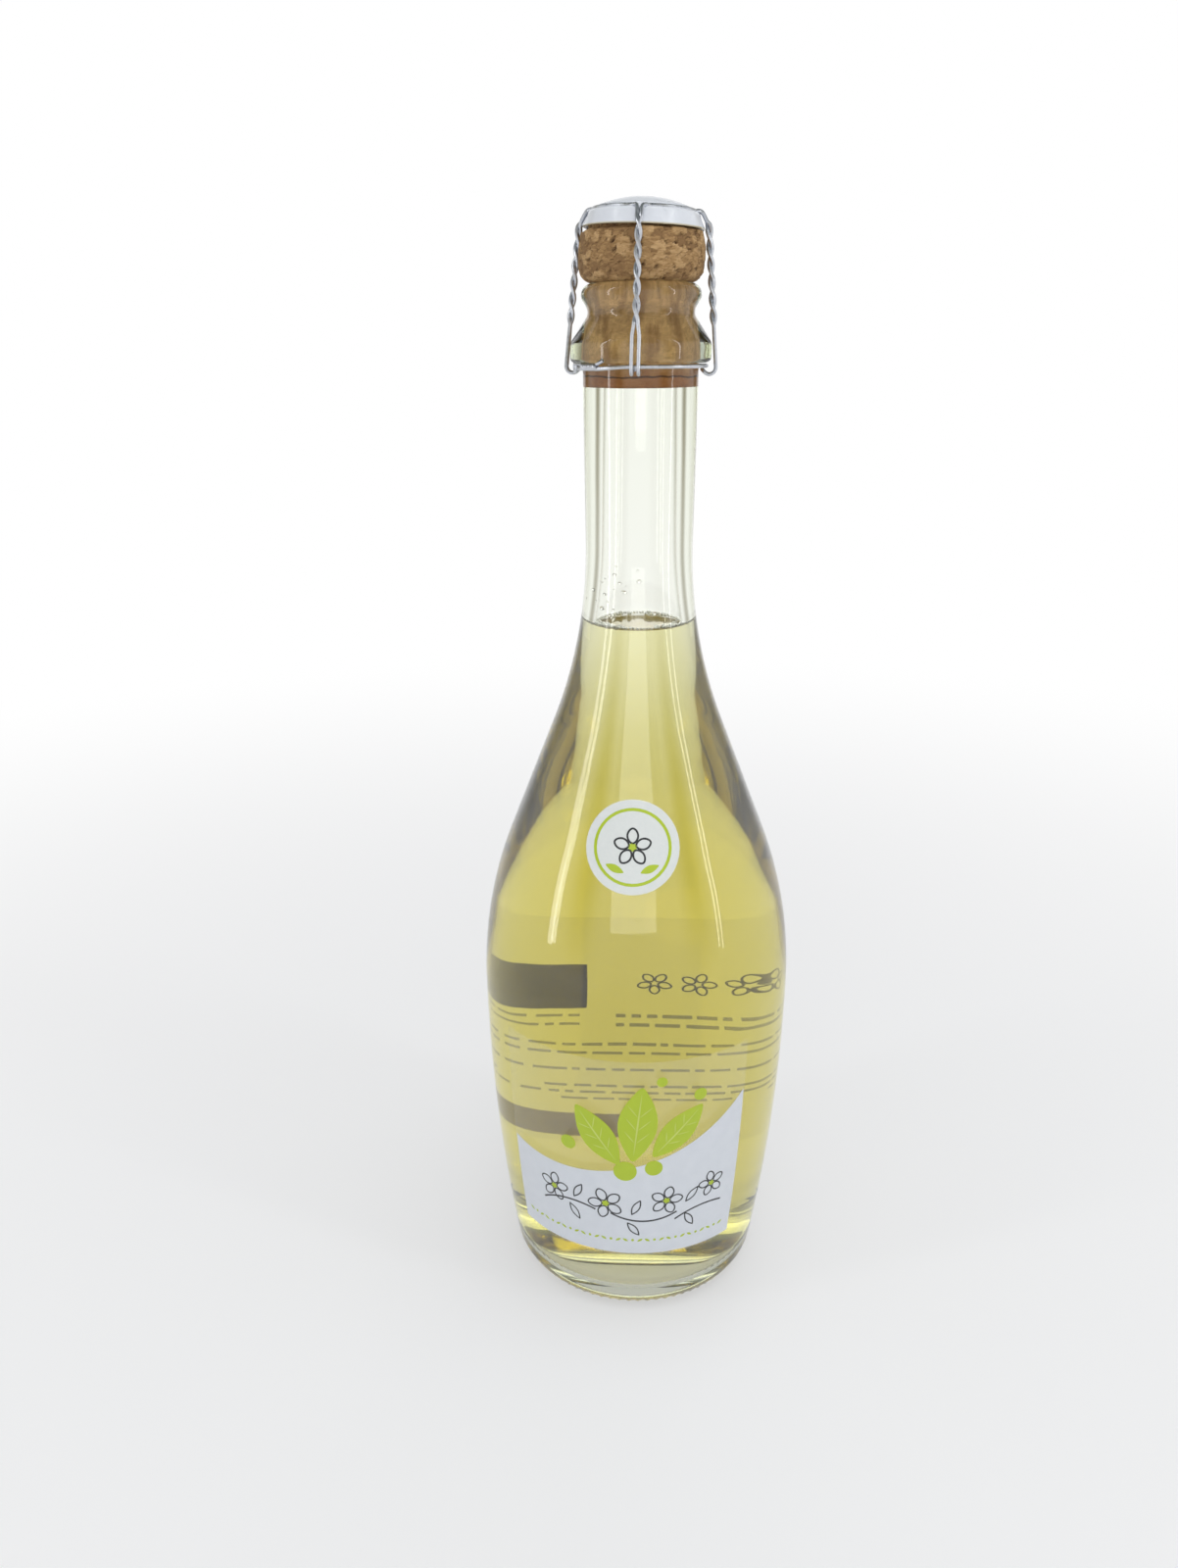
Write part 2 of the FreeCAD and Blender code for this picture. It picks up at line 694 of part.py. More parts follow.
def main():
    """Builds the bottle and writes its parts."""
    fill_sheet()
    envelope = make_envelope()
    cavity = make_cavity()
    make_glass(envelope, cavity)
    make_drink(cavity)
    make_cork(cavity)
    make_cap()
    make_cage_ring()
    make_belt()
    for side, turn in LEG_TURNS.items():
        make_leg(side, turn)
    make_wall_label("front_label", "front_bottom", "front_top", "front_span", "front_turn")
    make_wall_label("back_label", "back_bottom", "back_top", "back_span", "back_turn")
    make_neck_seal()
    doc.recompute()
    check_document()
    write_parts()


main()
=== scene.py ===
# %% [markdown]
# # A corked bottle of sparkling cocktail
# A clear glass bottle with a pale drink in it, a mushroom cork under a white tin cap, a cage
# of twisted wire, printed film labels and a round paper seal. The frame gives the plain
# pieces at their real size. Here each one gets its true surface, and the finer things that
# a plain solid leaves out: wire strands, granules, bubbles and print.

# %% Load the frame
import math
import random
import bmesh
import bpy
from mathutils import Matrix, Vector, noise


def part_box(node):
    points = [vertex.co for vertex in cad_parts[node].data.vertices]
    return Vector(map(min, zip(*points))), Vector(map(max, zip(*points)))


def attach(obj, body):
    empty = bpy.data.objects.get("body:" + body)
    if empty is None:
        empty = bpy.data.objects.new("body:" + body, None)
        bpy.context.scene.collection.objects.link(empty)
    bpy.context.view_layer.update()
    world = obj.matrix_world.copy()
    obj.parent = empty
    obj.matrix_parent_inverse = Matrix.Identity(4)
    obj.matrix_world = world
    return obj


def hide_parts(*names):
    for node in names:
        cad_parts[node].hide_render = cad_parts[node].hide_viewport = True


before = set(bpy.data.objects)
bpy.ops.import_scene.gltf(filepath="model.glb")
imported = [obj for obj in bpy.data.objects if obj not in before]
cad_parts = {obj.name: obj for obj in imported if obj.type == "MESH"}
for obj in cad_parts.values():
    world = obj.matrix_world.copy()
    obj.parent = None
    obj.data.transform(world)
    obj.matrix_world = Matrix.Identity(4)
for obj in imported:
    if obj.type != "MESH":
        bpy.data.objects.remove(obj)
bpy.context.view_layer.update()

MM = 0.001

# %% [markdown]
# ## The view and the light
# Glass shows what stands round it, so the surroundings come first. The camera looks down
# at the bottle from a little above the cork, close by. The sky is white where the camera
# sees it. Glass and metal see it white too, up to a soft edge, and dimmer overhead, which
# gives clear glass its darker lines. Two tall lamps draw the long streaks on the neck.


# %% Colours and one node helper
def srgb(code):
    """A linear colour from the hex value of an sRGB colour."""
    parts = [int(code[i:i + 2], 16) / 255 for i in (0, 2, 4)]
    linear = [p / 12.92 if p <= 0.04045 else ((p + 0.055) / 1.055) ** 2.4 for p in parts]
    return (*linear, 1.0)


def add(tree, kind, sockets=None, **settings):
    """Adds a node, applies its settings, and sets or links its sockets."""
    node = tree.nodes.new(kind)
    for name, value in settings.items():
        setattr(node, name, value)
    for name, value in (sockets or {}).items():
        if isinstance(value, bpy.types.NodeSocket):
            tree.links.new(value, node.inputs[name])
        else:
            node.inputs[name].default_value = value
    return node


MIX_FACTOR, MIX_A, MIX_B, MIX_RESULT = 0, 6, 7, 2      # a Mix node's colour sockets

# %% Camera
scene = bpy.context.scene
scene.view_settings.view_transform = "Standard"
CAMERA_PLACE = Vector((-13.75, -315.5, 271.0)) * MM
CAMERA_DOWN = 20.14
CAMERA_ROLL = -0.37
camera_data = bpy.data.cameras.new("camera")
camera_data.lens = 27.0
camera_data.sensor_width = 36.0
camera_data.clip_start = 0.01
camera = bpy.data.objects.new("camera", camera_data)
scene.collection.objects.link(camera)
pitch = Matrix.Rotation(math.radians(90 - CAMERA_DOWN), 4, "X")
roll = Matrix.Rotation(math.radians(CAMERA_ROLL), 4, "Z")
camera.matrix_world = Matrix.Translation(CAMERA_PLACE) @ pitch @ roll
scene.camera = camera
print("camera at", [round(value, 3) for value in camera.location])

# %% Light passes through many layers of glass and film
LAYER_BOUNCES = 24
scene.cycles.max_bounces = LAYER_BOUNCES
scene.cycles.transmission_bounces = LAYER_BOUNCES
scene.cycles.transparent_max_bounces = LAYER_BOUNCES


# %% Sky
def seen_rays(tree):
    """One for rays from the camera, off metal and through glass, and zero for the others."""
    path = add(tree, "ShaderNodeLightPath")
    seen = path.outputs["Is Camera Ray"]
    for way in ("Is Glossy Ray", "Is Transmission Ray"):
        seen = add(tree, "ShaderNodeMath", {0: seen, 1: path.outputs[way]}, operation="MAXIMUM").outputs[0]
    return seen


SKY_LIGHT = 0.36
SKY_TOP = "6E7674"
SKY_EDGE = (0.26, 0.62)
world = bpy.data.worlds.new("studio")
world.use_nodes = True
scene.world = world
tree = world.node_tree
tree.nodes.clear()
ways = add(tree, "ShaderNodeTexCoord")
height = add(tree, "ShaderNodeSeparateXYZ", {"Vector": ways.outputs["Generated"]})
fade = add(tree, "ShaderNodeMapRange", {"Value": height.outputs["Z"], "From Min": SKY_EDGE[0],
                                        "From Max": SKY_EDGE[1]}, interpolation_type="SMOOTHSTEP")
direct = add(tree, "ShaderNodeLightPath").outputs["Is Camera Ray"]
mirrored = add(tree, "ShaderNodeMath", {0: 1.0, 1: direct}, operation="SUBTRACT")
dimming = add(tree, "ShaderNodeMath", {0: fade.outputs["Result"], 1: mirrored.outputs[0]}, operation="MULTIPLY")
shown = add(tree, "ShaderNodeMix", {MIX_FACTOR: dimming.outputs[0], MIX_A: srgb("FFFFFF"),
                                    MIX_B: srgb(SKY_TOP)}, data_type="RGBA")
lit = add(tree, "ShaderNodeBackground", {"Color": srgb("F4F6FA"), "Strength": SKY_LIGHT})
seen = add(tree, "ShaderNodeBackground", {"Color": shown.outputs[MIX_RESULT], "Strength": 1.0})
both = add(tree, "ShaderNodeMixShader", {0: seen_rays(tree), 1: lit.outputs[0], 2: seen.outputs[0]})
add(tree, "ShaderNodeOutputWorld", {"Surface": both.outputs[0]})

# %% Floor
FLOOR_SIZE = 8.0
FLOOR_LIFT = (0.48, 1.0)        # share of plain white near the bottle, and far off
FLOOR_FADE = (0.05, 0.80)        # the distances between which it grows, in metres
floor_paint = bpy.data.materials.new("pale matt studio floor")
floor_paint.use_nodes = True
tree = floor_paint.node_tree
tree.nodes.clear()
matt = add(tree, "ShaderNodeBsdfDiffuse", {"Color": srgb("F1F2F3")})
white = add(tree, "ShaderNodeEmission", {"Color": srgb("FFFFFF"), "Strength": 1.0})
place = add(tree, "ShaderNodeTexCoord").outputs["Object"]
away = add(tree, "ShaderNodeVectorMath", {0: place}, operation="LENGTH")
lift = add(tree, "ShaderNodeMapRange", {"Value": away.outputs["Value"], "From Min": FLOOR_FADE[0],
                                        "From Max": FLOOR_FADE[1], "To Min": FLOOR_LIFT[0],
                                        "To Max": FLOOR_LIFT[1]}, interpolation_type="SMOOTHSTEP")
share = add(tree, "ShaderNodeMath", {0: seen_rays(tree), 1: lift.outputs["Result"]}, operation="MULTIPLY")
mixed = add(tree, "ShaderNodeMixShader", {0: share.outputs[0], 1: matt.outputs[0], 2: white.outputs[0]})
add(tree, "ShaderNodeOutputMaterial", {"Surface": mixed.outputs[0]})
bm = bmesh.new()
bmesh.ops.create_grid(bm, x_segments=1, y_segments=1, size=FLOOR_SIZE / 2)
floor_mesh = bpy.data.meshes.new("floor")
bm.to_mesh(floor_mesh)
bm.free()
floor_mesh.materials.append(floor_paint)
floor = bpy.data.objects.new("floor", floor_mesh)
scene.collection.objects.link(floor)


# %% Lamps
def soft_lamp(name, place, size, power, mirrored, look_at=(0, 0, 150)):
    """A rectangular soft lamp at a place in mm, aimed at the bottle, mirrored in its gloss or not."""
    data = bpy.data.lights.new(name, "AREA")
    data.shape = "RECTANGLE"
    data.size, data.size_y = (side * MM for side in size)
    data.energy = power
    lamp = bpy.data.objects.new(name, data)
    scene.collection.objects.link(lamp)
    lamp.location = Vector(place) * MM
    aim = (Vector(look_at) - Vector(place)).to_track_quat("-Z", "Y")
    lamp.rotation_euler = aim.to_euler()
    lamp.visible_camera = False
    lamp.visible_glossy = mirrored


soft_lamp("overhead", (150, -150, 1100), (900, 700), 3.3, False)
soft_lamp("left strip", (-620, -260, 420), (60, 900), 0.75, True)
soft_lamp("right strip", (600, -330, 400), (60, 900), 0.95, True)
soft_lamp("front fill", (-100, -1300, 500), (900, 700), 3.75, False)
soft_lamp("back fill", (200, 1300, 700), (1200, 700), 3.0, False)


# %% [markdown]
# Clear glass before plain white loses its outline. In a studio, dim cards stand beside the
# bottle, just out of view, and the glass draws its edges with them. Here four narrow cards
# stand at the corners of the set, so that every side of the bottle gets the same edges. They
# show only in glass and metal, and they take no light from the set.

# %% Cards
CARD_AWAY, CARD_WIDTH, CARD_HEIGHT = 0.42, 0.24, 0.9
CARD_FOOT = 0.3                 # the share of the height over which a card fades in
card_paint = bpy.data.materials.new("dim card with soft edges")
card_paint.use_nodes = True
tree = card_paint.node_tree
tree.nodes.clear()
dimness = add(tree, "ShaderNodeAttribute", attribute_name="dimness").outputs["Fac"]
dim_colour = add(tree, "ShaderNodeMix", {MIX_FACTOR: dimness, MIX_A: srgb("FFFFFF"), MIX_B: srgb("73683C")},
                 data_type="RGBA")
dim = add(tree, "ShaderNodeEmission", {"Color": dim_colour.outputs[MIX_RESULT], "Strength": 1.0})
add(tree, "ShaderNodeOutputMaterial", {"Surface": dim.outputs[0]})
bm = bmesh.new()
dim_layer = bm.verts.layers.float.new("dimness")
for corner in range(4):
    grid = bmesh.ops.create_grid(bm, x_segments=12, y_segments=12, size=0.5)["verts"]
    for vert in grid:
        rise = min(1.0, (vert.co.y + 0.5) / CARD_FOOT)
        vert[dim_layer] = math.cos(math.pi * vert.co.x) ** 1.5 * rise if abs(vert.co.x) < 0.499 else 0.0
    bmesh.ops.scale(bm, verts=grid, vec=(CARD_WIDTH, CARD_HEIGHT, 1))
    bmesh.ops.rotate(bm, verts=grid, matrix=Matrix.Rotation(math.radians(90), 3, "X"))
    bmesh.ops.translate(bm, verts=grid, vec=(0, CARD_AWAY, CARD_HEIGHT / 2))
    bmesh.ops.rotate(bm, verts=grid, matrix=Matrix.Rotation(math.radians(45 + 90 * corner), 3, "Z"))
card_mesh = bpy.data.meshes.new("cards")
bm.to_mesh(card_mesh)
bm.free()
card_mesh.materials.append(card_paint)
cards = bpy.data.objects.new("cards", card_mesh)
scene.collection.objects.link(cards)
cards.visible_camera = False
cards.visible_diffuse = False
cards.visible_shadow = False
cards.visible_volume_scatter = False
print("four cards, %.2f m from the bottle" % CARD_AWAY)

# %% [markdown]
# ## From outline to piece
# The glass, the drink, the cork and the cap are all round, so each is drawn as half a
# section, in millimetres, and spun about the bottle's axis. The spin operator also draws
# the section's arcs: it turns the last vertex of the outline about the arc's centre. That
# keeps each curve a true arc with a centre and a radius, as the bottle's mould has.


# %% Drawing a section
ARC_ERROR = 0.006       # how far a straight edge may miss its arc, in mm
TURN_STEPS = 240


def line_to(bm, last, point):
    """Extrudes the last vertex of a section to a radius and a height."""
    end = bmesh.ops.extrude_vert_indiv(bm, verts=[last])["verts"][0]
    end.co = (point[0], 0, point[1])
    return end


def arc_to(bm, last, centre, point, clockwise=False):
    """Turns the last vertex of a section about a centre until it points at the end."""
    begin = math.atan2(last.co.z - centre[1], last.co.x - centre[0])
    finish = math.atan2(point[1] - centre[1], point[0] - centre[0])
    turn = (finish - begin) % (2 * math.pi)
    if clockwise:
        turn -= 2 * math.pi
    radius = math.dist(centre, point)
    step = 2 * math.acos(1 - ARC_ERROR / radius)
    made = bmesh.ops.spin(bm, geom=[last], cent=(centre[0], 0, centre[1]), axis=(0, -1, 0),
                          angle=turn, steps=max(2, math.ceil(abs(turn) / step)))
    return made["geom_last"][0]


def spin_round(bm):
    """Spins a section all the way round the axis, welds it and points its faces outwards."""
    bmesh.ops.spin(bm, geom=bm.verts[:] + bm.edges[:], cent=(0, 0, 0), axis=(0, 0, 1),
                   angle=2 * math.pi, steps=TURN_STEPS, use_merge=True)
    bmesh.ops.remove_doubles(bm, verts=bm.verts, dist=0.001)
    bmesh.ops.recalc_face_normals(bm, faces=bm.faces)


def finish_piece(name, bm, material, slot, *nodes, sharp=35):
    """Scales a piece drawn in mm to metres, gives it its finish and sets it on the frame."""
    bmesh.ops.scale(bm, vec=(MM, MM, MM), verts=bm.verts)
    open_edges = sum(edge.is_boundary for edge in bm.edges)
    mesh = bpy.data.meshes.new(name)
    bm.to_mesh(mesh)
    bm.free()
    mesh.shade_smooth()
    mesh.set_sharp_from_angle(angle=math.radians(sharp))
    mesh.materials.append(material)
    piece = bpy.data.objects.new(name, mesh)
    scene.collection.objects.link(piece)
    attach(piece, "root")
    if nodes:
        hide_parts(*nodes)
    print("%-20s %6d faces, %d open edges" % (name, len(mesh.polygons), open_edges))
    return piece


# %% Where arcs and straights touch
def cross_tangent(convex, convex_radius, concave, concave_radius):
    """The straight between a convex and a concave arc: its touch on each of them."""
    across = (concave[0] - convex[0], concave[1] - convex[1])
    spread = math.acos((convex_radius + concave_radius) / math.hypot(*across))
    angle = math.atan2(across[1], across[0]) - math.copysign(spread, across[1])
    way = (math.cos(angle), math.sin(angle))
    first = (convex[0] + convex_radius * way[0], convex[1] + convex_radius * way[1])
    second = (concave[0] - concave_radius * way[0], concave[1] - concave_radius * way[1])
    return first, second


def dome_centre(edge_radius, edge_height, top_height):
    """The centre, on the axis, of the arc from a dome's top down to its edge."""
    rise = top_height - edge_height
    return (0.0, top_height - (edge_radius ** 2 + rise ** 2) / (2 * rise))


def touch_inside(centre, radius, small, small_radius):
    """The point where a small circle touches a large one from inside."""
    reach = radius / (radius - small_radius)
    return (centre[0] + (small[0] - centre[0]) * reach, centre[1] + (small[1] - centre[1]) * reach)


# %% [markdown]
# ## Glass
# Bottle glass is blown in a mould: a domed floor, a rounded heel, one long bow up to the
# belly, a rounder bow over the shoulder, a straight slope and a hollow throat up to the
# neck. The wall is thin at the belly and thicker at the neck and the collar. Outside and
# inside are drawn in one closed outline, so that the wall has its real thickness and light
# bends through it as it does through the real one.

# %% Sizes of the glass, from the frame and the mould
BELLY = round(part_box("bottle_glass")[1].x / MM, 1)
GLASS_TOP = round(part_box("bottle_glass")[1].z / MM, 1)
FILL = round(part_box("drink")[1].z / MM, 1)
BELLY_HEIGHT = 96.5
LOW_BOW, SHOULDER_BOW, THROAT_BOW = 580.0, 125.0, 130.0
WALL, NECK_WALL = 3.05, 4.3
PUNT, FOOT, HEEL = 12.0, 28.0, 8.0
NECK, NECK_HEIGHT = 14.2, 223.0
BORE, BORE_HEIGHT = 9.9, 226.0
COLLAR, COLLAR_BOTTOM, COLLAR_TOP = 17.75, 268.5, 272.4
COLLAR_EDGE, COLLAR_SHOULDER, COLLAR_NECK = 1.2, 3.0, 14.7
WAIST, WAIST_HEIGHT, WAIST_ROUND = 13.4, 280.4, 2.4
LIP, LIP_ROUND = 15.0, 2.6
MOUTH, MOUTH_ROUND = 9.2, 1.0
FLOOR_THICKNESS = 4.5
INNER_FOOT = (27.0, 5.5)
INNER_HEEL = 9.0
LOW_CENTRE = (BELLY - LOW_BOW, BELLY_HEIGHT)
SHOULDER_CENTRE = (BELLY - SHOULDER_BOW, BELLY_HEIGHT)
THROAT_CENTRE = (NECK + THROAT_BOW, NECK_HEIGHT)
SLOPE_LOW, SLOPE_TOP = cross_tangent(SHOULDER_CENTRE, SHOULDER_BOW, THROAT_CENTRE, THROAT_BOW)
print("glass %.1f mm tall, drink up to %.1f mm" % (GLASS_TOP, FILL))


# %% Outside of the glass
def draw_outside(bm):
    """Draws the outside from the punt's top round the heel and up to the mouth."""
    last = bm.verts.new((0, 0, PUNT))
    last = arc_to(bm, last, dome_centre(FOOT, 0, PUNT), (FOOT, 0), clockwise=True)
    reach = math.sqrt((LOW_BOW - HEEL) ** 2 - (BELLY_HEIGHT - HEEL) ** 2)
    heel = (LOW_CENTRE[0] + reach, HEEL)
    last = line_to(bm, last, (heel[0], 0))
    last = arc_to(bm, last, heel, touch_inside(LOW_CENTRE, LOW_BOW, heel, HEEL))
    last = arc_to(bm, last, LOW_CENTRE, (BELLY, BELLY_HEIGHT))
    last = arc_to(bm, last, SHOULDER_CENTRE, SLOPE_LOW)
    last = line_to(bm, last, SLOPE_TOP)
    last = arc_to(bm, last, THROAT_CENTRE, (NECK, NECK_HEIGHT), clockwise=True)
    last = line_to(bm, last, (COLLAR_NECK, COLLAR_BOTTOM))
    last = line_to(bm, last, (COLLAR - COLLAR_EDGE, COLLAR_BOTTOM))
    edge = COLLAR_BOTTOM + COLLAR_EDGE
    last = arc_to(bm, last, (COLLAR - COLLAR_EDGE, edge), (COLLAR, edge))
    last = line_to(bm, last, (COLLAR, COLLAR_TOP))
    shoulder = (COLLAR - COLLAR_SHOULDER, COLLAR_TOP)
    waist = (WAIST + WAIST_ROUND, WAIST_HEIGHT)
    lip = (LIP - LIP_ROUND, GLASS_TOP - LIP_ROUND)
    leave, meet = cross_tangent(shoulder, COLLAR_SHOULDER, waist, WAIST_ROUND)
    under, from_waist = cross_tangent(lip, LIP_ROUND, waist, WAIST_ROUND)
    last = arc_to(bm, last, shoulder, leave)
    last = line_to(bm, last, meet)
    last = arc_to(bm, last, waist, from_waist, clockwise=True)
    last = line_to(bm, last, under)
    last = arc_to(bm, last, lip, (lip[0], GLASS_TOP))
    return line_to(bm, last, (MOUTH + MOUTH_ROUND, GLASS_TOP))


# %% Inside of the glass
def draw_inside(bm, last, top):
    """Draws the inner wall from the bore at a height down to the middle of the floor."""
    belly, bow = BELLY - WALL, LOW_BOW - WALL
    throat = (BORE + THROAT_BOW + NECK_WALL, BORE_HEIGHT)
    slope_low, slope_top = cross_tangent(SHOULDER_CENTRE, SHOULDER_BOW - WALL, throat, THROAT_BOW + NECK_WALL)
    if top > BORE_HEIGHT:
        last = line_to(bm, last, (BORE, BORE_HEIGHT))
    last = arc_to(bm, last, throat, slope_top)
    last = line_to(bm, last, slope_low)
    last = arc_to(bm, last, SHOULDER_CENTRE, (belly, BELLY_HEIGHT), clockwise=True)
    gap = math.dist(LOW_CENTRE, INNER_FOOT)
    along = ((bow - INNER_HEEL) ** 2 - INNER_HEEL ** 2 + gap ** 2) / (2 * gap)
    aside = math.sqrt((bow - INNER_HEEL) ** 2 - along ** 2)
    way = [(INNER_FOOT[i] - LOW_CENTRE[i]) / gap for i in (0, 1)]
    heel = (LOW_CENTRE[0] + along * way[0] - aside * way[1], LOW_CENTRE[1] + along * way[1] + aside * way[0])
    last = arc_to(bm, last, LOW_CENTRE, touch_inside(LOW_CENTRE, bow, heel, INNER_HEEL), clockwise=True)
    last = arc_to(bm, last, heel, INNER_FOOT, clockwise=True)
    floor_top = PUNT + FLOOR_THICKNESS
    return arc_to(bm, last, dome_centre(*INNER_FOOT, floor_top), (0, floor_top))


def round_channel(bm):
    """Rounds the sharp channel where the inner heel meets the domed floor."""
    near = [v for v in bm.verts if abs(v.co.xy.length - INNER_FOOT[0]) < 3 and 4 < v.co.z < 8.5]
    for _ in range(8):
        bmesh.ops.smooth_vert(bm, verts=near, factor=0.5, use_axis_z=True)


# %% [markdown]
# The finish is flint glass with a trace of green, which shows only where light passes
# through a lot of it, so the colour is absorption in the volume and not paint on the
# surface. A slow ripple in the bump stands for the slightly uneven blown wall.


# %% Glass and drink finishes
def new_material(name):
    """A named material with its shader, its node tree and its output."""
    material = bpy.data.materials.new(name)
    material.use_nodes = True
    nodes = material.node_tree.nodes
    return material, material.node_tree, nodes["Principled BSDF"], nodes["Material Output"]


def set_sockets(shader, **values):
    """Sets a shader's own sockets, named with underscores for spaces."""
    for name, value in values.items():
        shader.inputs[name.replace("_", " ")].default_value = value


def absorbing(tree, output, colour, density):
    """Gives a clear material its depth of colour."""
    volume = add(tree, "ShaderNodeVolumeAbsorption", {"Color": colour, "Density": density})
    tree.links.new(volume.outputs[0], output.inputs["Volume"])


def bump(tree, shader, height, distance, strength=1.0):
    """Links a height to the shader as a bump of a depth in mm."""
    made = add(tree, "ShaderNodeBump", {"Height": height, "Distance": distance * MM, "Strength": strength})
    tree.links.new(made.outputs["Normal"], shader.inputs["Normal"])


def clear_glass():
    """Flint glass, blown and fire polished: clear, hard, faintly rippled and greenish in depth."""
    material, tree, shader, output = new_material("clear flint glass, fire polished")
    set_sockets(shader, Base_Color=srgb("FFFFFF"), Roughness=0.0, IOR=1.52, Transmission_Weight=1.0)
    absorbing(tree, output, (0.70, 0.77, 0.46, 1.0), 30.0)
    place = add(tree, "ShaderNodeTexCoord").outputs["Object"]
    ripple = add(tree, "ShaderNodeTexNoise", {"Vector": place, "Scale": 45.0, "Detail": 1.0})
    bump(tree, shader, ripple.outputs["Fac"], 0.10)
    return material


def pale_drink():
    """A clear drink: water-like, pale yellow-green through a hand's width of it."""
    material, tree, shader, output = new_material("pale sparkling drink")
    set_sockets(shader, Base_Color=srgb("FFFFFF"), Roughness=0.0, IOR=1.34, Transmission_Weight=1.0)
    absorbing(tree, output, (0.90, 0.838, 0.057, 1.0), 30.0)
    return material


glass_finish = clear_glass()
drink_finish = pale_drink()

# %% The bottle
KNURL_LOW, KNURL_TOP = 0.7, 2.2      # the short ribs that the bottle stands on, above the table
KNURL_EVERY, KNURL_DEPTH = 3, 0.28
bm = bmesh.new()
mouth = draw_outside(bm)
mouth = arc_to(bm, mouth, (MOUTH + MOUTH_ROUND, GLASS_TOP - MOUTH_ROUND), (MOUTH, GLASS_TOP - MOUTH_ROUND))
draw_inside(bm, mouth, GLASS_TOP)
spin_round(bm)
round_channel(bm)
bm.normal_update()
knurls = [v for v in bm.verts if KNURL_LOW < v.co.z < KNURL_TOP and v.co.xy.length > FOOT + 2]
for vert in knurls:
    column = round(math.degrees(math.atan2(vert.co.y, vert.co.x)) / (360 / TURN_STEPS))
    if column % KNURL_EVERY == 0:
        vert.co += vert.normal * KNURL_DEPTH
finish_piece("bottle_clear_glass", bm, glass_finish, "clear_glass", "bottle_glass")

# %% [markdown]
# ## Drink
# Where a liquid meets glass there is no air between them. Drawn face on face, the two
# surfaces would flicker, so the drink is grown by a fraction of a millimetre into the wall:
# light still bends once into the glass and once into the drink. Its top curls up where it
# wets the wall. That curl is made by stepping the open rim inwards and down.

# %% Drink with its curled edge
OVERLAP = 0.3
CURL = [(0.12, -0.35), (0.25, -0.3), (0.45, -0.25), (0.7, -0.16), (1.1, -0.09), (1.8, -0.03), (3.0, 0.0)]
curl_height = -sum(drop for _, drop in CURL)


def bore_at(height):
    """The inner wall's radius in the throat at a height."""
    throat = THROAT_BOW + NECK_WALL
    return BORE + throat - math.sqrt(throat ** 2 - (BORE_HEIGHT - height) ** 2)


bm = bmesh.new()
rim_height = FILL + curl_height
start = bm.verts.new((bore_at(rim_height), 0, rim_height))
draw_inside(bm, start, rim_height)
spin_round(bm)
round_channel(bm)
if max(bm.faces, key=lambda face: face.calc_center_median().x).normal.x < 0:
    bmesh.ops.reverse_faces(bm, faces=bm.faces)
bm.normal_update()
for vert in bm.verts:
    if vert.co.z < rim_height - 0.01:
        vert.co += vert.normal * OVERLAP
rim = [edge for edge in bm.edges if edge.is_boundary]
radius = bore_at(rim_height)
for vert in {vert for edge in rim for vert in edge.verts}:
    vert.co.xy *= (radius + OVERLAP) / radius
radius += OVERLAP
height = rim_height
for inwards, drop in [(OVERLAP, 0.0)] + CURL:
    made = bmesh.ops.extrude_edge_only(bm, edges=rim)["geom"]
    rim = [item for item in made if isinstance(item, bmesh.types.BMEdge) and item.is_boundary]
    verts = list({vert for edge in rim for vert in edge.verts})
    bmesh.ops.scale(bm, verts=verts, vec=((radius - inwards) / radius,) * 2 + (1,))
    bmesh.ops.translate(bm, verts=verts, vec=(0, 0, drop))
    radius -= inwards
bmesh.ops.holes_fill(bm, edges=rim)
bmesh.ops.recalc_face_normals(bm, faces=bm.faces)
finish_piece("drink_liquid", bm, drink_finish, "drink", "drink")

# %% [markdown]
# ## Bubbles and drops
# The fizz leaves a string of tiny bubbles along the edge of the drink, with thicker foam
# on two sides, and a few drops cling to the neck's inner wall above it. Each bubble is a
# copy of one small closed ball, and all of a kind are joined in one piece.


# %% Small balls
ball_bm = bmesh.new()
bmesh.ops.create_uvsphere(ball_bm, u_segments=8, v_segments=6, radius=1)
ball_mesh = bpy.data.meshes.new("ball")
ball_bm.to_mesh(ball_mesh)
ball_bm.free()


def add_ball(bm, place, radius, squash=(1, 1, 1)):
    """Adds a copy of the small ball at a place in mm."""
    before = len(bm.verts)
    bm.from_mesh(ball_mesh)
    bm.verts.ensure_lookup_table()
    verts = bm.verts[before:]
    bmesh.ops.scale(bm, verts=verts, vec=[radius * part for part in squash])
    bmesh.ops.translate(bm, verts=verts, vec=place)


def round_axis(turn, radius, height):
    """A point at a turn from the bottle's front, a radius and a height."""
    angle = math.radians(turn - 90)
    return Vector((radius * math.cos(angle), radius * math.sin(angle), height))


def froth():
    """Froth: gas in thin films of liquid, so light leaves the liquid where it meets a bubble."""
    material, tree, shader, output = new_material("fine froth")
    set_sockets(shader, Base_Color=srgb("F8F8F2"), Roughness=0.03, IOR=0.75, Transmission_Weight=0.55)
    return material


def water_drop():
    """A drop that clings to glass: clear, with the bend of water."""
    material, tree, shader, output = new_material("clear drop")
    set_sockets(shader, Base_Color=srgb("FFFFFF"), Roughness=0.0, IOR=1.34, Transmission_Weight=1.0)
    return material


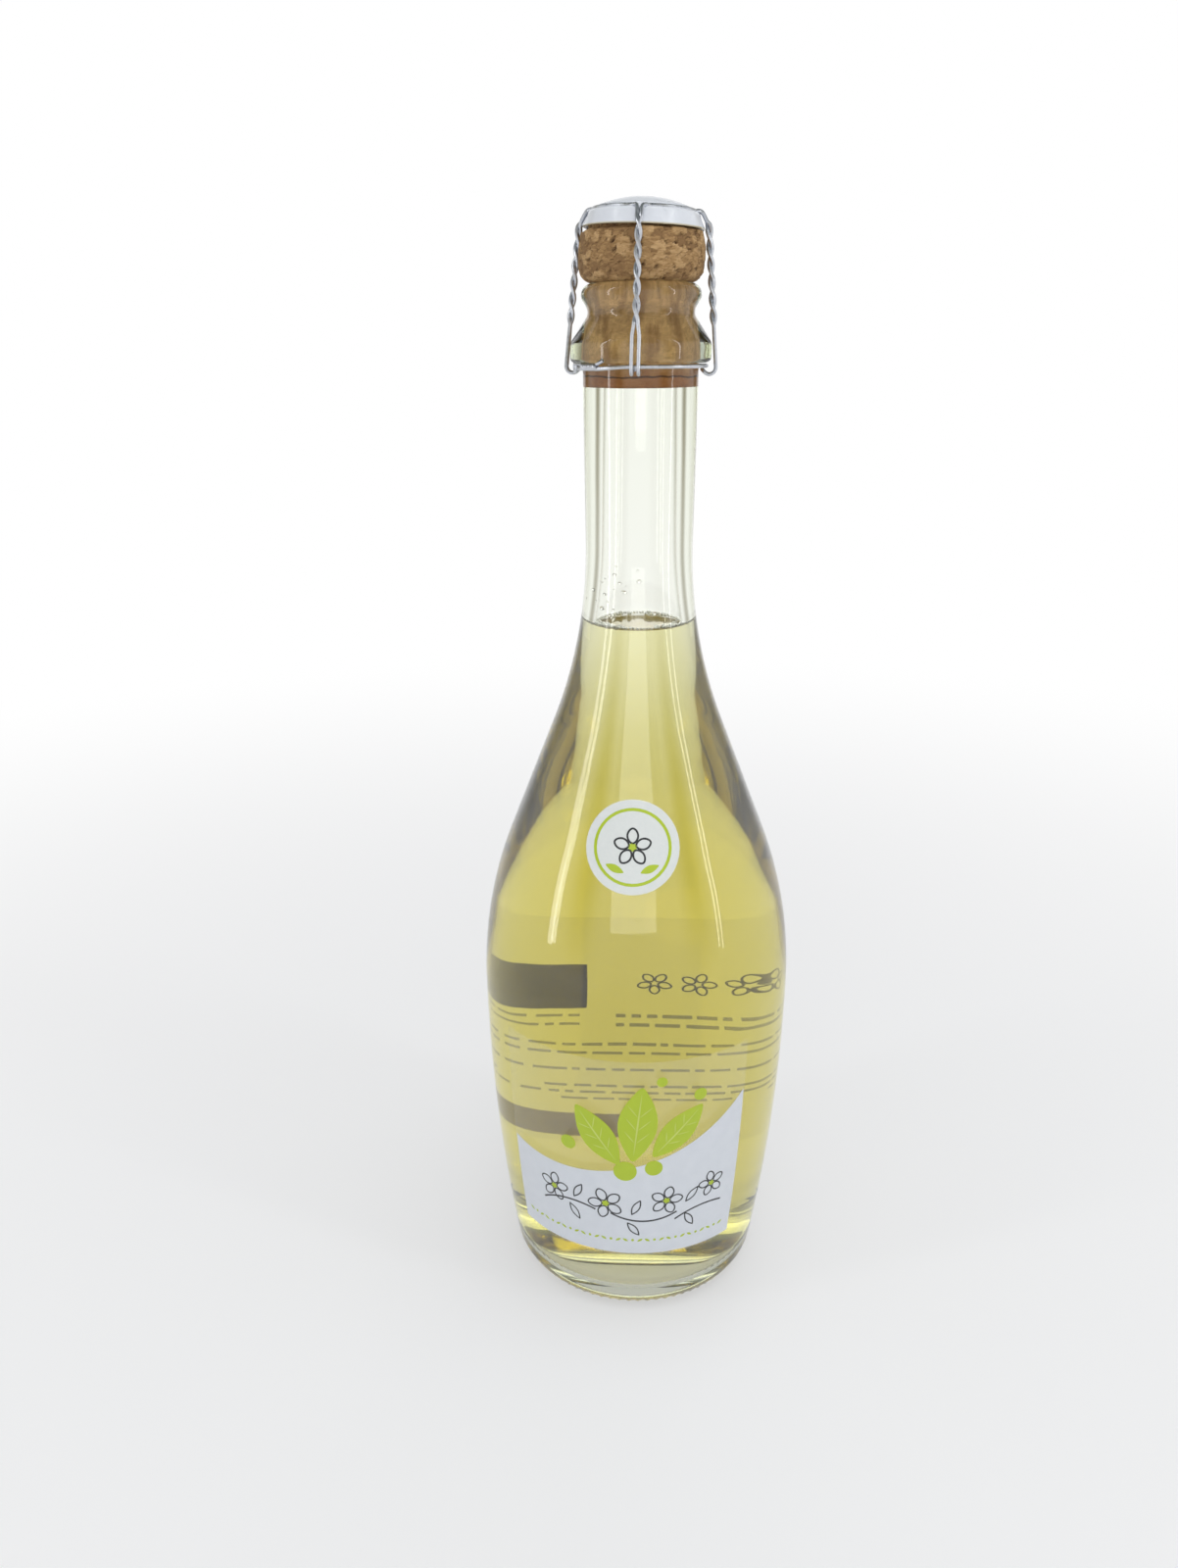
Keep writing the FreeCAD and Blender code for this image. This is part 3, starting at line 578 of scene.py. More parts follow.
# %% Foam edge and neck drops
foam = froth()
chance = random.Random(7)
EDGE_BUBBLES, FOAM_BUBBLES, NECK_DROPS = 84, 170, 26
bm = bmesh.new()
for index in range(EDGE_BUBBLES):
    size = chance.uniform(0.34, 0.43)
    height = rim_height - 0.25 + chance.uniform(-0.08, 0.08)
    turn = 360 * index / EDGE_BUBBLES + chance.uniform(-0.4, 0.4)
    add_ball(bm, round_axis(turn, bore_at(height) - size * 0.7, height), size)
for index in range(FOAM_BUBBLES):
    side = chance.choice((-52, -40, 38, 150, 215))
    size = chance.triangular(0.22, 0.75, 0.32)
    turn = side + chance.gauss(0, 13)
    inwards = abs(chance.gauss(0, 0.9)) + size * 0.7
    height = rim_height - 0.60 + 0.35 * chance.random() + size * 0.3
    add_ball(bm, round_axis(turn, bore_at(height) - inwards, height), size)
finish_piece("foam_edge", bm, foam, "drink")
bm = bmesh.new()
for index in range(NECK_DROPS):
    height = FILL + 2.5 + 16 * chance.random() ** 1.6
    turn = chance.gauss(-35, 26)
    size = chance.triangular(0.2, 0.75, 0.3)
    add_ball(bm, round_axis(turn, bore_at(height), height), size, (1, 1, 0.8))
finish_piece("neck_drops", bm, water_drop(), "drink")

# %% [markdown]
# ## Cork
# An agglomerated stopper is pressed from cork granules of 1 to 5 mm and glue, turned round
# and squeezed into the neck, so that its free end swells to a mushroom head. The body is
# spun with close rows. Each vertex then looks up which granule it lies in: cracks between
# granules go in, single granules stand a little proud, and a few pores go deep. The depth is
# also kept as an attribute, so that the finish darkens the same cracks that the mesh shows.

# %% Cork sizes
CORK_BOTTOM = round(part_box("cork")[0].z / MM, 1)
CORK_TOP = round(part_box("cork")[1].z / MM, 1)
CORK_HEAD, CORK_MIDDLE, CORK_BOW, CORK_ROUND = 15.7, 293.0, 20.0, 3.7
CORK_NECK, CORK_STEP = 13.1, 298.4
CORK_ROW = 0.42
CRACK, PORE, PROUD = 0.26, 0.85, 0.14
GRANULE = Vector((0.36, 0.36, 0.50))
DISC = 2.6                  # the height of the lowest disc of the stopper, to its glue line


def draw_cork(bm):
    """Draws the cork's section from the middle of its bottom to the middle of its top."""
    in_glass = BORE + 0.15
    last = bm.verts.new((0, 0, CORK_BOTTOM))
    last = line_to(bm, last, (in_glass - 0.9, CORK_BOTTOM))
    last = arc_to(bm, last, (in_glass - 0.9, CORK_BOTTOM + 0.9), (in_glass, CORK_BOTTOM + 0.9))
    last = line_to(bm, last, (MOUTH + 0.15, GLASS_TOP - MOUTH_ROUND))
    last = line_to(bm, last, (MOUTH + 0.5, GLASS_TOP + 0.02))
    barrel = (CORK_HEAD - CORK_BOW, CORK_MIDDLE)
    low = GLASS_TOP + CORK_ROUND
    reach = math.sqrt((CORK_BOW - CORK_ROUND) ** 2 - (CORK_MIDDLE - low) ** 2)
    corner = (barrel[0] + reach, low)
    last = line_to(bm, last, (corner[0], GLASS_TOP + 0.02))
    last = arc_to(bm, last, corner, touch_inside(barrel, CORK_BOW, corner, CORK_ROUND))
    head = barrel[0] + math.sqrt(CORK_BOW ** 2 - (CORK_STEP - CORK_MIDDLE) ** 2)
    last = arc_to(bm, last, barrel, (head, CORK_STEP))
    last = line_to(bm, last, (CORK_NECK, CORK_STEP + 0.8))
    last = line_to(bm, last, (CORK_NECK, CORK_TOP))
    line_to(bm, last, (0, CORK_TOP))


def granules(place):
    """How deep the crack, how proud the granule and how deep the pore at a place in mm."""
    bent = place + 0.9 * noise.noise_vector(place * 0.45) + 0.35 * noise.noise_vector(place * 1.3)
    apart, seeds = noise.voronoi(Vector(bent[i] * GRANULE[i] for i in range(3)))
    gap = apart[1] - apart[0]
    crack = max(0.0, 1 - gap / 0.10) * (0.35 + 0.65 * max(0.0, min(1.0, 0.5 + noise.noise(place * 0.5) * 1.6)))
    lift = noise.cell(seeds[0] * 7.3)
    turn = math.atan2(place.y, place.x) * CORK_HEAD
    along = Vector((turn * 0.8 + place.z * 0.6, place.z * 0.8 - turn * 0.6, place.xy.length))
    pores, spots = noise.voronoi(Vector((along.x * 0.26, along.y * 0.62, along.z * 0.4)))
    pore = max(0.0, 1 - pores[0] / 0.30) if noise.cell(spots[0] * 3.1) > 0.45 else 0.0
    return crack, lift, pore


# %% The cork
bm = bmesh.new()
draw_cork(bm)
long_edges = [edge for edge in bm.edges if edge.calc_length() > CORK_ROW]
while long_edges:
    bmesh.ops.subdivide_edges(bm, edges=long_edges, cuts=1)
    long_edges = [edge for edge in bm.edges if edge.calc_length() > CORK_ROW]
spin_round(bm)
bm.normal_update()
depth_layer = bm.verts.layers.float.new("crack")
grain_layer = bm.verts.layers.float.new("granule")
pushes = []
for vert in bm.verts:
    crack, lift, pore = granules(vert.co)
    free = min(1.0, max(0.0, (vert.co.z - GLASS_TOP - 0.3) / 0.8))
    vert[depth_layer] = min(1.0, crack * 0.8 + pore)
    vert[grain_layer] = lift
    pushes.append(vert.normal * free * (PROUD * (lift - 0.5) - CRACK * crack - PORE * pore))
for vert, push in zip(bm.verts, pushes):
    vert.co += push


def pressed_cork():
    """Agglomerated cork: matt, springy bark granules, close in colour, with darker gaps and pores."""
    material, tree, shader, output = new_material("agglomerated cork, turned and waxed")
    place = add(tree, "ShaderNodeTexCoord").outputs["Object"]
    height = add(tree, "ShaderNodeSeparateXYZ", {"Vector": place}).outputs["Z"]
    crack = add(tree, "ShaderNodeAttribute", attribute_name="crack").outputs["Fac"]
    granule = add(tree, "ShaderNodeAttribute", attribute_name="granule").outputs["Fac"]
    flecks = add(tree, "ShaderNodeTexNoise", {"Vector": place, "Scale": 1100.0, "Detail": 4.0, "Roughness": 0.7})
    lean = add(tree, "ShaderNodeMapping", {"Vector": place, "Rotation": (0.5, 0.6, 0.0),
                                           "Scale": (1.0, 1.0, 3.4)})
    bands = add(tree, "ShaderNodeTexNoise", {"Vector": lean.outputs[0], "Scale": 520.0, "Detail": 5.0,
                                             "Roughness": 0.6, "Distortion": 0.8})
    weight = add(tree, "ShaderNodeMath", {0: granule, 1: 0.20}, operation="MULTIPLY")
    shade = add(tree, "ShaderNodeMath", {0: bands.outputs["Fac"], 1: 1.15, 2: weight.outputs[0]},
                operation="MULTIPLY_ADD")
    tones = add(tree, "ShaderNodeValToRGB", {"Fac": shade.outputs[0]})
    ramp = tones.color_ramp
    ramp.elements[0].position, ramp.elements[0].color = 0.42, srgb("8F6E49")
    ramp.elements[1].position, ramp.elements[1].color = 0.98, srgb("D6B281")
    for position, code in [(0.60, "AC885A"), (0.76, "C09C6D")]:
        stop = ramp.elements.new(position)
        stop.color = srgb(code)
    fleck_fade = add(tree, "ShaderNodeMapRange", {"Value": flecks.outputs["Fac"], "From Min": 0.57,
                                                  "From Max": 0.70, "To Max": 0.55})
    flecked = add(tree, "ShaderNodeMix", {MIX_FACTOR: fleck_fade.outputs[0], MIX_A: tones.outputs[0],
                                          MIX_B: srgb("6A4A2C")}, data_type="RGBA")
    dark = add(tree, "ShaderNodeMapRange", {"Value": crack, "From Min": 0.10, "From Max": 0.85})
    cracked = add(tree, "ShaderNodeMix", {MIX_FACTOR: dark.outputs[0], MIX_A: flecked.outputs[MIX_RESULT],
                                          MIX_B: srgb("432B17")}, data_type="RGBA")
    # inside the glass the cork gets upright dark streaks: painted shade that stands in for the collar's refraction
    upright = add(tree, "ShaderNodeMapping", {"Vector": place, "Scale": (1.0, 1.0, 0.28)})
    streaks = add(tree, "ShaderNodeTexNoise", {"Vector": upright.outputs[0], "Scale": 380.0, "Detail": 3.0})
    inside = add(tree, "ShaderNodeMapRange", {"Value": height, "From Min": (GLASS_TOP - 3.0) * MM,
                                              "From Max": (GLASS_TOP + 0.5) * MM, "To Min": 1.0, "To Max": 0.0})
    streak_fade = add(tree, "ShaderNodeMapRange", {"Value": streaks.outputs["Fac"], "From Min": 0.47,
                                                   "From Max": 0.66, "To Max": 0.55})
    streaked = add(tree, "ShaderNodeMath", {0: inside.outputs[0], 1: streak_fade.outputs[0]}, operation="MULTIPLY")
    # painted light: inside the glass the cork is lifted halfway to a pale tan, standing in for the light that the
    # glass keeps from it
    painted_neck_lift = add(tree, "ShaderNodeMath", {0: inside.outputs[0], 1: 0.5}, operation="MULTIPLY")
    painted_neck_light = add(tree, "ShaderNodeMix", {MIX_FACTOR: painted_neck_lift.outputs[0], MIX_A: cracked.outputs[MIX_RESULT],
                                       MIX_B: srgb("F0C084")}, data_type="RGBA")
    # painted shade: dark upright streaks inside the glass, standing in for the refraction of the glass collar
    painted_refraction_streaks = add(tree, "ShaderNodeMix", {MIX_FACTOR: streaked.outputs[0], MIX_A: painted_neck_light.outputs[MIX_RESULT],
                                           MIX_B: srgb("7A4C24")}, data_type="RGBA")
    # the two discs at the wet end are glued on, and the lower one is stained by the drink
    wander = add(tree, "ShaderNodeTexNoise", {"Vector": place, "Scale": 160.0, "Detail": 5.0})
    edge = add(tree, "ShaderNodeMath", {0: wander.outputs["Fac"], 1: 0.006, 2: height}, operation="MULTIPLY_ADD")
    stain = add(tree, "ShaderNodeMapRange", {"Value": edge.outputs[0], "From Min": (CORK_BOTTOM + 4.0) * MM,
                                             "From Max": (CORK_BOTTOM + 11.0) * MM, "To Min": 0.8,
                                             "To Max": 0.0}, interpolation_type="SMOOTHSTEP")
    stained = add(tree, "ShaderNodeMix", {MIX_FACTOR: stain.outputs[0], MIX_A: painted_refraction_streaks.outputs[MIX_RESULT],
                                          MIX_B: srgb("A05C24")}, data_type="RGBA")
    joint = add(tree, "ShaderNodeMath", {0: wander.outputs["Fac"], 1: 0.0016, 2: height}, operation="MULTIPLY_ADD")
    off_joint = add(tree, "ShaderNodeMath", {0: joint.outputs[0], 1: (CORK_BOTTOM + DISC + 0.8) * MM},
                    operation="SUBTRACT")
    near = add(tree, "ShaderNodeMath", {0: off_joint.outputs[0]}, operation="ABSOLUTE")
    glue = add(tree, "ShaderNodeMapRange", {"Value": near.outputs[0], "From Min": 0.0001, "From Max": 0.0003,
                                            "To Min": 0.85, "To Max": 0.0})
    jointed = add(tree, "ShaderNodeMix", {MIX_FACTOR: glue.outputs[0], MIX_A: stained.outputs[MIX_RESULT],
                                          MIX_B: srgb("2E1A0C")}, data_type="RGBA")
    tree.links.new(jointed.outputs[MIX_RESULT], shader.inputs["Base Color"])
    set_sockets(shader, Roughness=0.82, Specular_IOR_Level=0.3)
    bump(tree, shader, flecks.outputs["Fac"], 0.28)
    return material


finish_piece("cork_stopper", bm, pressed_cork(), "cork", "cork", sharp=60)

# %% [markdown]
# ## Cap
# The cap is a disc of tinplate, pressed over the cork's top and lacquered white. It has a
# low dome, a groove where the cage's top ring lies, a rolled shoulder and a short flared
# skirt. Its outside is drawn and spun as an open skin, and solidify gives it the thickness
# of the sheet, so the skirt ends in a thin real edge with the cork's shadow behind it.

# %% The cap, drawn up from its skirt's edge
CAP_HEIGHT, CAP_TILT, CAP_SHIFT = 299.3, 2.0, 0.45
SHEET = 0.35
RAW_EDGE = 0.35             # how much of the skirt shows the cut, unlacquered edge
SKIRT, SKIRT_TOP, SKIRT_TOP_RADIUS, CAP_SHOULDER = 14.95, 2.7, 13.75, 1.0
GROOVE_OUTER, GROOVE_INNER, GROOVE_FLOOR = 12.6, 11.95, 3.4
DOME, DOME_EDGE, DOME_TOP = 11.2, 4.8, 7.0
cap_place = Matrix.Translation((CAP_SHIFT, 0, CAP_HEIGHT)) @ Matrix.Rotation(math.radians(CAP_TILT), 4, "Y")

bm = bmesh.new()
last = bm.verts.new((SKIRT, 0, 0))
last = line_to(bm, last, (SKIRT - RAW_EDGE * (SKIRT - SKIRT_TOP_RADIUS) / SKIRT_TOP, RAW_EDGE))
last = line_to(bm, last, (SKIRT_TOP_RADIUS, SKIRT_TOP))
shoulder = (SKIRT_TOP_RADIUS - CAP_SHOULDER, SKIRT_TOP)
last = arc_to(bm, last, shoulder, (shoulder[0], SKIRT_TOP + CAP_SHOULDER))
last = line_to(bm, last, (GROOVE_OUTER, GROOVE_FLOOR))
last = line_to(bm, last, (GROOVE_INNER, GROOVE_FLOOR))
last = line_to(bm, last, (DOME, DOME_EDGE))
arc_to(bm, last, dome_centre(DOME, DOME_EDGE, DOME_TOP), (0, DOME_TOP))
spin_round(bm)
if max(bm.faces, key=lambda face: face.calc_center_median().z).normal.z < 0:
    bmesh.ops.reverse_faces(bm, faces=bm.faces)
bmesh.ops.solidify(bm, geom=bm.faces[:], thickness=SHEET)
edge_layer = bm.verts.layers.float.new("raw_edge")
for vert in bm.verts:
    vert[edge_layer] = 1.0 if vert.co.z < RAW_EDGE / 2 else 0.0
bmesh.ops.transform(bm, matrix=cap_place, verts=bm.verts)


def white_lacquer():
    """White stove lacquer on tinplate: smooth and glossy, with a faint orange peel."""
    material, tree, shader, output = new_material("white stove lacquer on tinplate")
    place = add(tree, "ShaderNodeTexCoord").outputs["Object"]
    peel = add(tree, "ShaderNodeTexNoise", {"Vector": place, "Scale": 700.0, "Detail": 2.0})
    haze = add(tree, "ShaderNodeTexNoise", {"Vector": place, "Scale": 160.0, "Detail": 3.0})
    tint = add(tree, "ShaderNodeMix", {MIX_FACTOR: haze.outputs["Fac"], MIX_A: srgb("E4E9F0"),
                                       MIX_B: srgb("EEF1F6")}, data_type="RGBA")
    cut = add(tree, "ShaderNodeAttribute", attribute_name="raw_edge").outputs["Fac"]
    edged = add(tree, "ShaderNodeMix", {MIX_FACTOR: cut, MIX_A: tint.outputs[MIX_RESULT],
                                        MIX_B: srgb("CFC6A6")}, data_type="RGBA")
    tree.links.new(edged.outputs[MIX_RESULT], shader.inputs["Base Color"])
    rough = add(tree, "ShaderNodeMapRange", {"Value": haze.outputs["Fac"], "To Min": 0.22, "To Max": 0.36})
    tree.links.new(rough.outputs[0], shader.inputs["Roughness"])
    set_sockets(shader, Coat_Weight=0.4, Coat_Roughness=0.12)
    bump(tree, shader, peel.outputs["Fac"], 0.02)
    return material


finish_piece("cap_shell", bm, white_lacquer(), "white_tinplate", "cap_plate")

# %% [markdown]
# ## Wire cage
# A cage is twisted from soft steel wire just under 1 mm thick. The ring in the cap's groove
# is part of the same wires as the legs: at each leg two wires turn off the ring over the
# shoulder, twist round each other down past the cork, open out again, and join in a hook
# that holds the belt wire under the collar. A round wire along a path is what a curve with
# a bevel makes, so each wire's path is worked out by a few formulas and beveled, then kept
# as a mesh.

# %% Wire tools
WIRE = 0.48
WIRE_SIDES = 3


def add_wire(bm, points, closed=False):
    """Adds a round wire along points in mm, with closed ends."""
    curve = bpy.data.curves.new("wire path", "CURVE")
    curve.dimensions = "3D"
    curve.bevel_depth = WIRE
    curve.bevel_resolution = WIRE_SIDES
    curve.use_fill_caps = True
    spline = curve.splines.new("POLY")
    spline.points.add(len(points) - 1)
    for spot, point in zip(spline.points, points):
        spot.co = (*point, 1.0)
    spline.use_cyclic_u = closed
    holder = bpy.data.objects.new("wire path", curve)
    mesh = bpy.data.meshes.new_from_object(holder)
    bm.from_mesh(mesh)
    bpy.data.objects.remove(holder)
    bpy.data.curves.remove(curve)
    bpy.data.meshes.remove(mesh)
    bmesh.ops.remove_doubles(bm, verts=bm.verts, dist=0.002)
    bmesh.ops.recalc_face_normals(bm, faces=bm.faces)


def steel_wire():
    """Drawn galvanised steel wire: bright, slightly dull zinc with fine drawing lines."""
    material, tree, shader, output = new_material("drawn galvanised steel wire")
    place = add(tree, "ShaderNodeTexCoord").outputs["Object"]
    bloom = add(tree, "ShaderNodeTexNoise", {"Vector": place, "Scale": 1400.0, "Detail": 3.0})
    tint = add(tree, "ShaderNodeMix", {MIX_FACTOR: bloom.outputs["Fac"], MIX_A: srgb("B4B8C0"),
                                       MIX_B: srgb("DADDE3")}, data_type="RGBA")
    tree.links.new(tint.outputs[MIX_RESULT], shader.inputs["Base Color"])
    rough = add(tree, "ShaderNodeMapRange", {"Value": bloom.outputs["Fac"], "To Min": 0.2, "To Max": 0.42})
    tree.links.new(rough.outputs[0], shader.inputs["Roughness"])
    set_sockets(shader, Metallic=1.0)
    bump(tree, shader, bloom.outputs["Fac"], 0.02)
    return material


wire_finish = steel_wire()

# %% Sizes of the cage
CAGE_TURN, CAGE_LEAN = -6.8, 0.8
LEGS = {"front": 0, "right": 90, "back": 180, "left": 270}
RING = 12.5
RING_HEIGHT = GROOVE_FLOOR + WIRE
PAIR = 0.68
LEG_FOOT = 18.9
OVER_EDGE, OVER_EDGE_HEIGHT, OVER_EDGE_BEND = 14.75, CAP_HEIGHT + 0.1, 1.15
HOOK, HOOK_HEIGHT, HOOK_END = 1.6, 267.6, 266.8
BELT, BELT_HEIGHT = 16.6, 267.75
FORK = 2.7                  # half the gap between two wires where they leave the ring
SHOULDER_RUN = 3.4          # how far down the leg they have come together
TWIST_START, TWIST_LENGTH, TWISTS = 4.6, 23.5, 3
SPREAD, SPREAD_RUN = 0.86, 3.2
leg_height = CAP_HEIGHT + SKIRT_TOP + CAP_SHOULDER + PAIR
fork_turn = math.degrees(math.asin(FORK / RING))
cage_lean = Matrix.Translation((0, 0, BELT_HEIGHT)) @ Matrix.Rotation(math.radians(CAGE_LEAN), 4, "Y")
cage_lean = cage_lean @ Matrix.Translation((0, 0, -BELT_HEIGHT))


def lean_between(first, first_radius, second, second_radius):
    """The lean, from upright, of the straight that touches two bends on their outer side."""
    across = (second[0] - first[0], second[1] - first[1])
    return math.atan2(across[0], -across[1]) + math.asin((second_radius - first_radius) / math.hypot(*across))


def leg_frame():
    """A leg's middle line in its own plane, as straights and arcs: over the cap's shoulder,
    down its flared skirt, over the skirt's edge, down past the cork and into the hook."""
    shoulder = (SKIRT_TOP_RADIUS - CAP_SHOULDER, CAP_HEIGHT + SKIRT_TOP)
    bends = [(shoulder, CAP_SHOULDER + PAIR), ((OVER_EDGE, OVER_EDGE_HEIGHT), OVER_EDGE_BEND),
             ((LEG_FOOT - HOOK, HOOK_HEIGHT), HOOK)]
    runs = [("straight", (RING - 0.3, leg_height), (shoulder[0], leg_height))]
    lean = math.pi / 2
    for (centre, radius), (next_centre, next_radius) in zip(bends, bends[1:]):
        next_lean = lean_between(centre, radius, next_centre, next_radius)
        out = Vector((math.cos(next_lean), math.sin(next_lean)))
        runs.append(("arc", centre, radius, lean, next_lean))
        runs.append(("straight", Vector(centre) + radius * out, Vector(next_centre) + next_radius * out))
        lean = next_lean
    stop = -math.pi - math.asin((HOOK_END - HOOK_HEIGHT) / HOOK)
    runs.append(("arc", *bends[-1], lean, stop))
    return runs


def leg_at(runs, length):
    """A point and a tangent on the leg's middle line, a length along it."""
    for run in runs:
        if run[0] == "straight":
            first, last = Vector(run[1]), Vector(run[2])
            size = (last - first).length
            if length <= size:
                way = (last - first) / size
                return first + way * length, way
        else:
            _, centre, radius, begin, stop = run
            size = radius * abs(stop - begin)
            if length <= size or run is runs[-1]:
                angle = begin - length / radius
                spot = Vector(centre) + radius * Vector((math.cos(angle), math.sin(angle)))
                return spot, Vector((math.sin(angle), -math.cos(angle)))
        length -= size


def runs_length(runs):
    """The length of a leg's middle line."""
    total = 0.0
    for run in runs:
        total += (Vector(run[2]) - Vector(run[1])).length if run[0] == "straight" else run[2] * abs(run[4] - run[3])
    return total


# %% One leg is one wire, down and up again
def smooth_step(value):
    """Zero below 0, one above 1 and a smooth rise between."""
    value = min(1.0, max(0.0, value))
    return value * value * (3 - 2 * value)


def strand_offset(length):
    """How far a wire lies from the leg's middle, and at what angle round it."""
    if length < SHOULDER_RUN:
        come = 1 - length / SHOULDER_RUN
        aside = WIRE + (FORK - WIRE) * (1 - math.sqrt(1 - come ** 2))
    else:
        aside = WIRE
    turned = min(1.0, max(0.0, (length - TWIST_START) / TWIST_LENGTH))
    opened = smooth_step((length - TWIST_START - TWIST_LENGTH) / SPREAD_RUN)
    return aside + (SPREAD - WIRE) * opened, -2 * math.pi * TWISTS * turned


def ring_point(turn):
    """A point of the top ring, at a turn from the bottle's front."""
    return cap_place @ round_axis(turn, RING, RING_HEIGHT)


def strand(turn, side):
    """One wire of a leg from the ring to the end of its hook, on one side (1 or -1)."""
    runs = leg_frame()
    total = runs_length(runs)
    lengths = [SHOULDER_RUN * (1 - math.cos(math.radians(step * 7.5))) for step in range(12)]
    lengths += [SHOULDER_RUN + 0.33 * step for step in range(int((total - SHOULDER_RUN) / 0.33) + 1)]
    radial = round_axis(turn, 1, 0)
    aside_way = round_axis(turn + 90, 1, 0)
    points = []
    for length in lengths:
        (radius, height), (along_out, along_up) = leg_at(runs, length)
        aside, angle = strand_offset(length)
        out_way = radial * -along_up + Vector((0, 0, along_out))
        point = radial * radius + Vector((0, 0, height))
        point += side * aside * (math.cos(angle) * aside_way + math.sin(angle) * out_way)
        points.append(cage_lean @ point)
    start = ring_point(turn + side * fork_turn)
    gap = start - points[0]
    for index, length in enumerate(lengths):
        points[index] = points[index] + gap * (1 - smooth_step(length / SHOULDER_RUN))
    return points


for side_name, side_turn in LEGS.items():
    turn = CAGE_TURN + side_turn
    down, up = strand(turn, 1), strand(turn, -1)
    ahead = (down[-1] - down[-2]).normalized()
    middle, arm = (down[-1] + up[-1]) / 2, (down[-1] - up[-1]) / 2
    bow = [middle + arm * math.cos(math.radians(a)) + ahead * arm.length * math.sin(math.radians(a))
           for a in range(20, 180, 20)]
    bm = bmesh.new()
    add_wire(bm, down + bow + up[::-1])
    finish_piece("cage_wires_" + side_name, bm, wire_finish, "steel_wire", "cage_leg_" + side_name)

bm = bmesh.new()
for side_turn in LEGS.values():
    first = CAGE_TURN + side_turn + fork_turn
    span = 90 - 2 * fork_turn
    add_wire(bm, [ring_point(first + span * step / 40) for step in range(41)])
finish_piece("cage_ring_wires", bm, wire_finish, "steel_wire", "cage_ring")

# %% [markdown]
# The belt is one wire too. Its end comes back on itself: from the cut tip it winds three and
# a half turns round its other end, runs on beside it, passes the left leg, goes all the way
# round and ends in a small eye.

# %% Belt wire
TIP_TURN, TWIST_FROM, TWIST_TO, EYE_TURN = -34.0, -43.0, -62.0, -77.0
BELT_TWISTS = 3.5
BELT_EYE = 1.0


def belt_point(turn, out=0.0, up=0.0):
    """A point of the belt, moved outwards and upwards from its line."""
    return round_axis(turn, BELT + out, BELT_HEIGHT + up)


def twist_point(turn, side):
    """A point of one of the two wires where they wind round each other."""
    share = (turn - TWIST_FROM) / (TWIST_TO - TWIST_FROM)
    angle = side * math.pi / 2 + 2 * math.pi * BELT_TWISTS * share
    return belt_point(turn, WIRE * math.cos(angle), WIRE * math.sin(angle))


def belt_path():
    """The belt from its cut tip to its eye."""
    rise = [belt_point(TIP_TURN + share * (TWIST_FROM - TIP_TURN), 0.6 * (1 - share), 1.5 - share)
            for share in (0, 0.25, 0.5, 0.75)]
    wound = [TWIST_FROM + (TWIST_TO - TWIST_FROM) * step / 60 for step in range(61)]
    points = rise + [twist_point(turn, 1) for turn in wound]
    last_side = twist_point(TWIST_TO, 1) - belt_point(TWIST_TO)
    sign = 1 if last_side.z > 0 else -1
    for step in range(1, 9):
        share = step / 8
        points.append(belt_point(TWIST_TO + (EYE_TURN - TWIST_TO) * share, 0, sign * WIRE * (1 - 0.3 * share)))
    whole = 360 + EYE_TURN - TWIST_FROM
    for step in range(1, 240):
        share = step / 240
        settle = max(0.0, 1 - share * 12)
        near = max(0.0, share * 12 - 11)
        lift = sign * WIRE * 0.7 * settle - WIRE * near
        points.append(belt_point(EYE_TURN - whole * share, 0, lift))
    points += [twist_point(turn, -1) for turn in wound]
    for step in range(1, 7):
        share = step / 6
        turn = TWIST_TO + (EYE_TURN + 3 - TWIST_TO) * share
        points.append(belt_point(turn, 0, -sign * WIRE * (1 + 0.5 * share)))
    centre = belt_point(EYE_TURN, 0.25, 0)
    along = round_axis(EYE_TURN - 90, 1, 0)
    for angle in range(-60, 205, 15):
        a = math.radians(angle)
        points.append(centre + BELT_EYE * (along * math.cos(a) * 1.0 + Vector((0, 0, -sign * -math.sin(a)))))
    return points


bm = bmesh.new()
add_wire(bm, belt_path())
finish_piece("cage_belt_wire", bm, wire_finish, "steel_wire", "cage_belt")

# %% [markdown]
# ## Labels
# The labels are clear film with white, lime and near-black inks screened on them, so all
# that shows of the film is its edge, and the drink is seen between the printed shapes. Each
# ink is drawn as flat shapes on a sheet of its own, a few hundredths of a millimetre thick,
# then sliced into narrow strips and bent round the bottle, as the printed film is. Across
# the sheet, x is the distance along the bottle's side from the label's zero turn and y is
# the height above the table. The sprig, flowers and leaves are a plain design of circles
# and arcs.

# %% Flat shapes
INK = 0.03


def wall_radius(height):
    """The outside radius of the glass on its long lower bow."""
    return LOW_CENTRE[0] + math.sqrt(LOW_BOW ** 2 - (height - BELLY_HEIGHT) ** 2)


def place_flat(bm, verts, place, turn=0.0):
    """Turns flat vertices in their plane and moves them to a place."""
    spin = Matrix.Translation((*place, 0)) @ Matrix.Rotation(math.radians(turn), 4, "Z")
    bmesh.ops.transform(bm, matrix=spin, verts=verts)


def add_oval(bm, place, half_length, half_width, turn=0.0, pinch=0.0, line=0.0):
    """Adds an oval, drawn to points at its ends by a pinch, filled or as a line."""
    verts = bmesh.ops.create_circle(bm, segments=40, radius=1, cap_ends=True)["verts"]
    for vert in verts:
        vert.co.x, vert.co.y = vert.co.x * half_length, vert.co.y * half_width * (1 - pinch * vert.co.x ** 2)
    face = verts[0].link_faces[0]
    if line:
        rim = bmesh.ops.inset_region(bm, faces=[face], thickness=line, use_even_offset=True,
                                     use_boundary=True)["faces"]
        verts = list({vert for part in rim for vert in part.verts})
        bmesh.ops.delete(bm, geom=[face], context="FACES_ONLY")
    place_flat(bm, verts, place, turn)


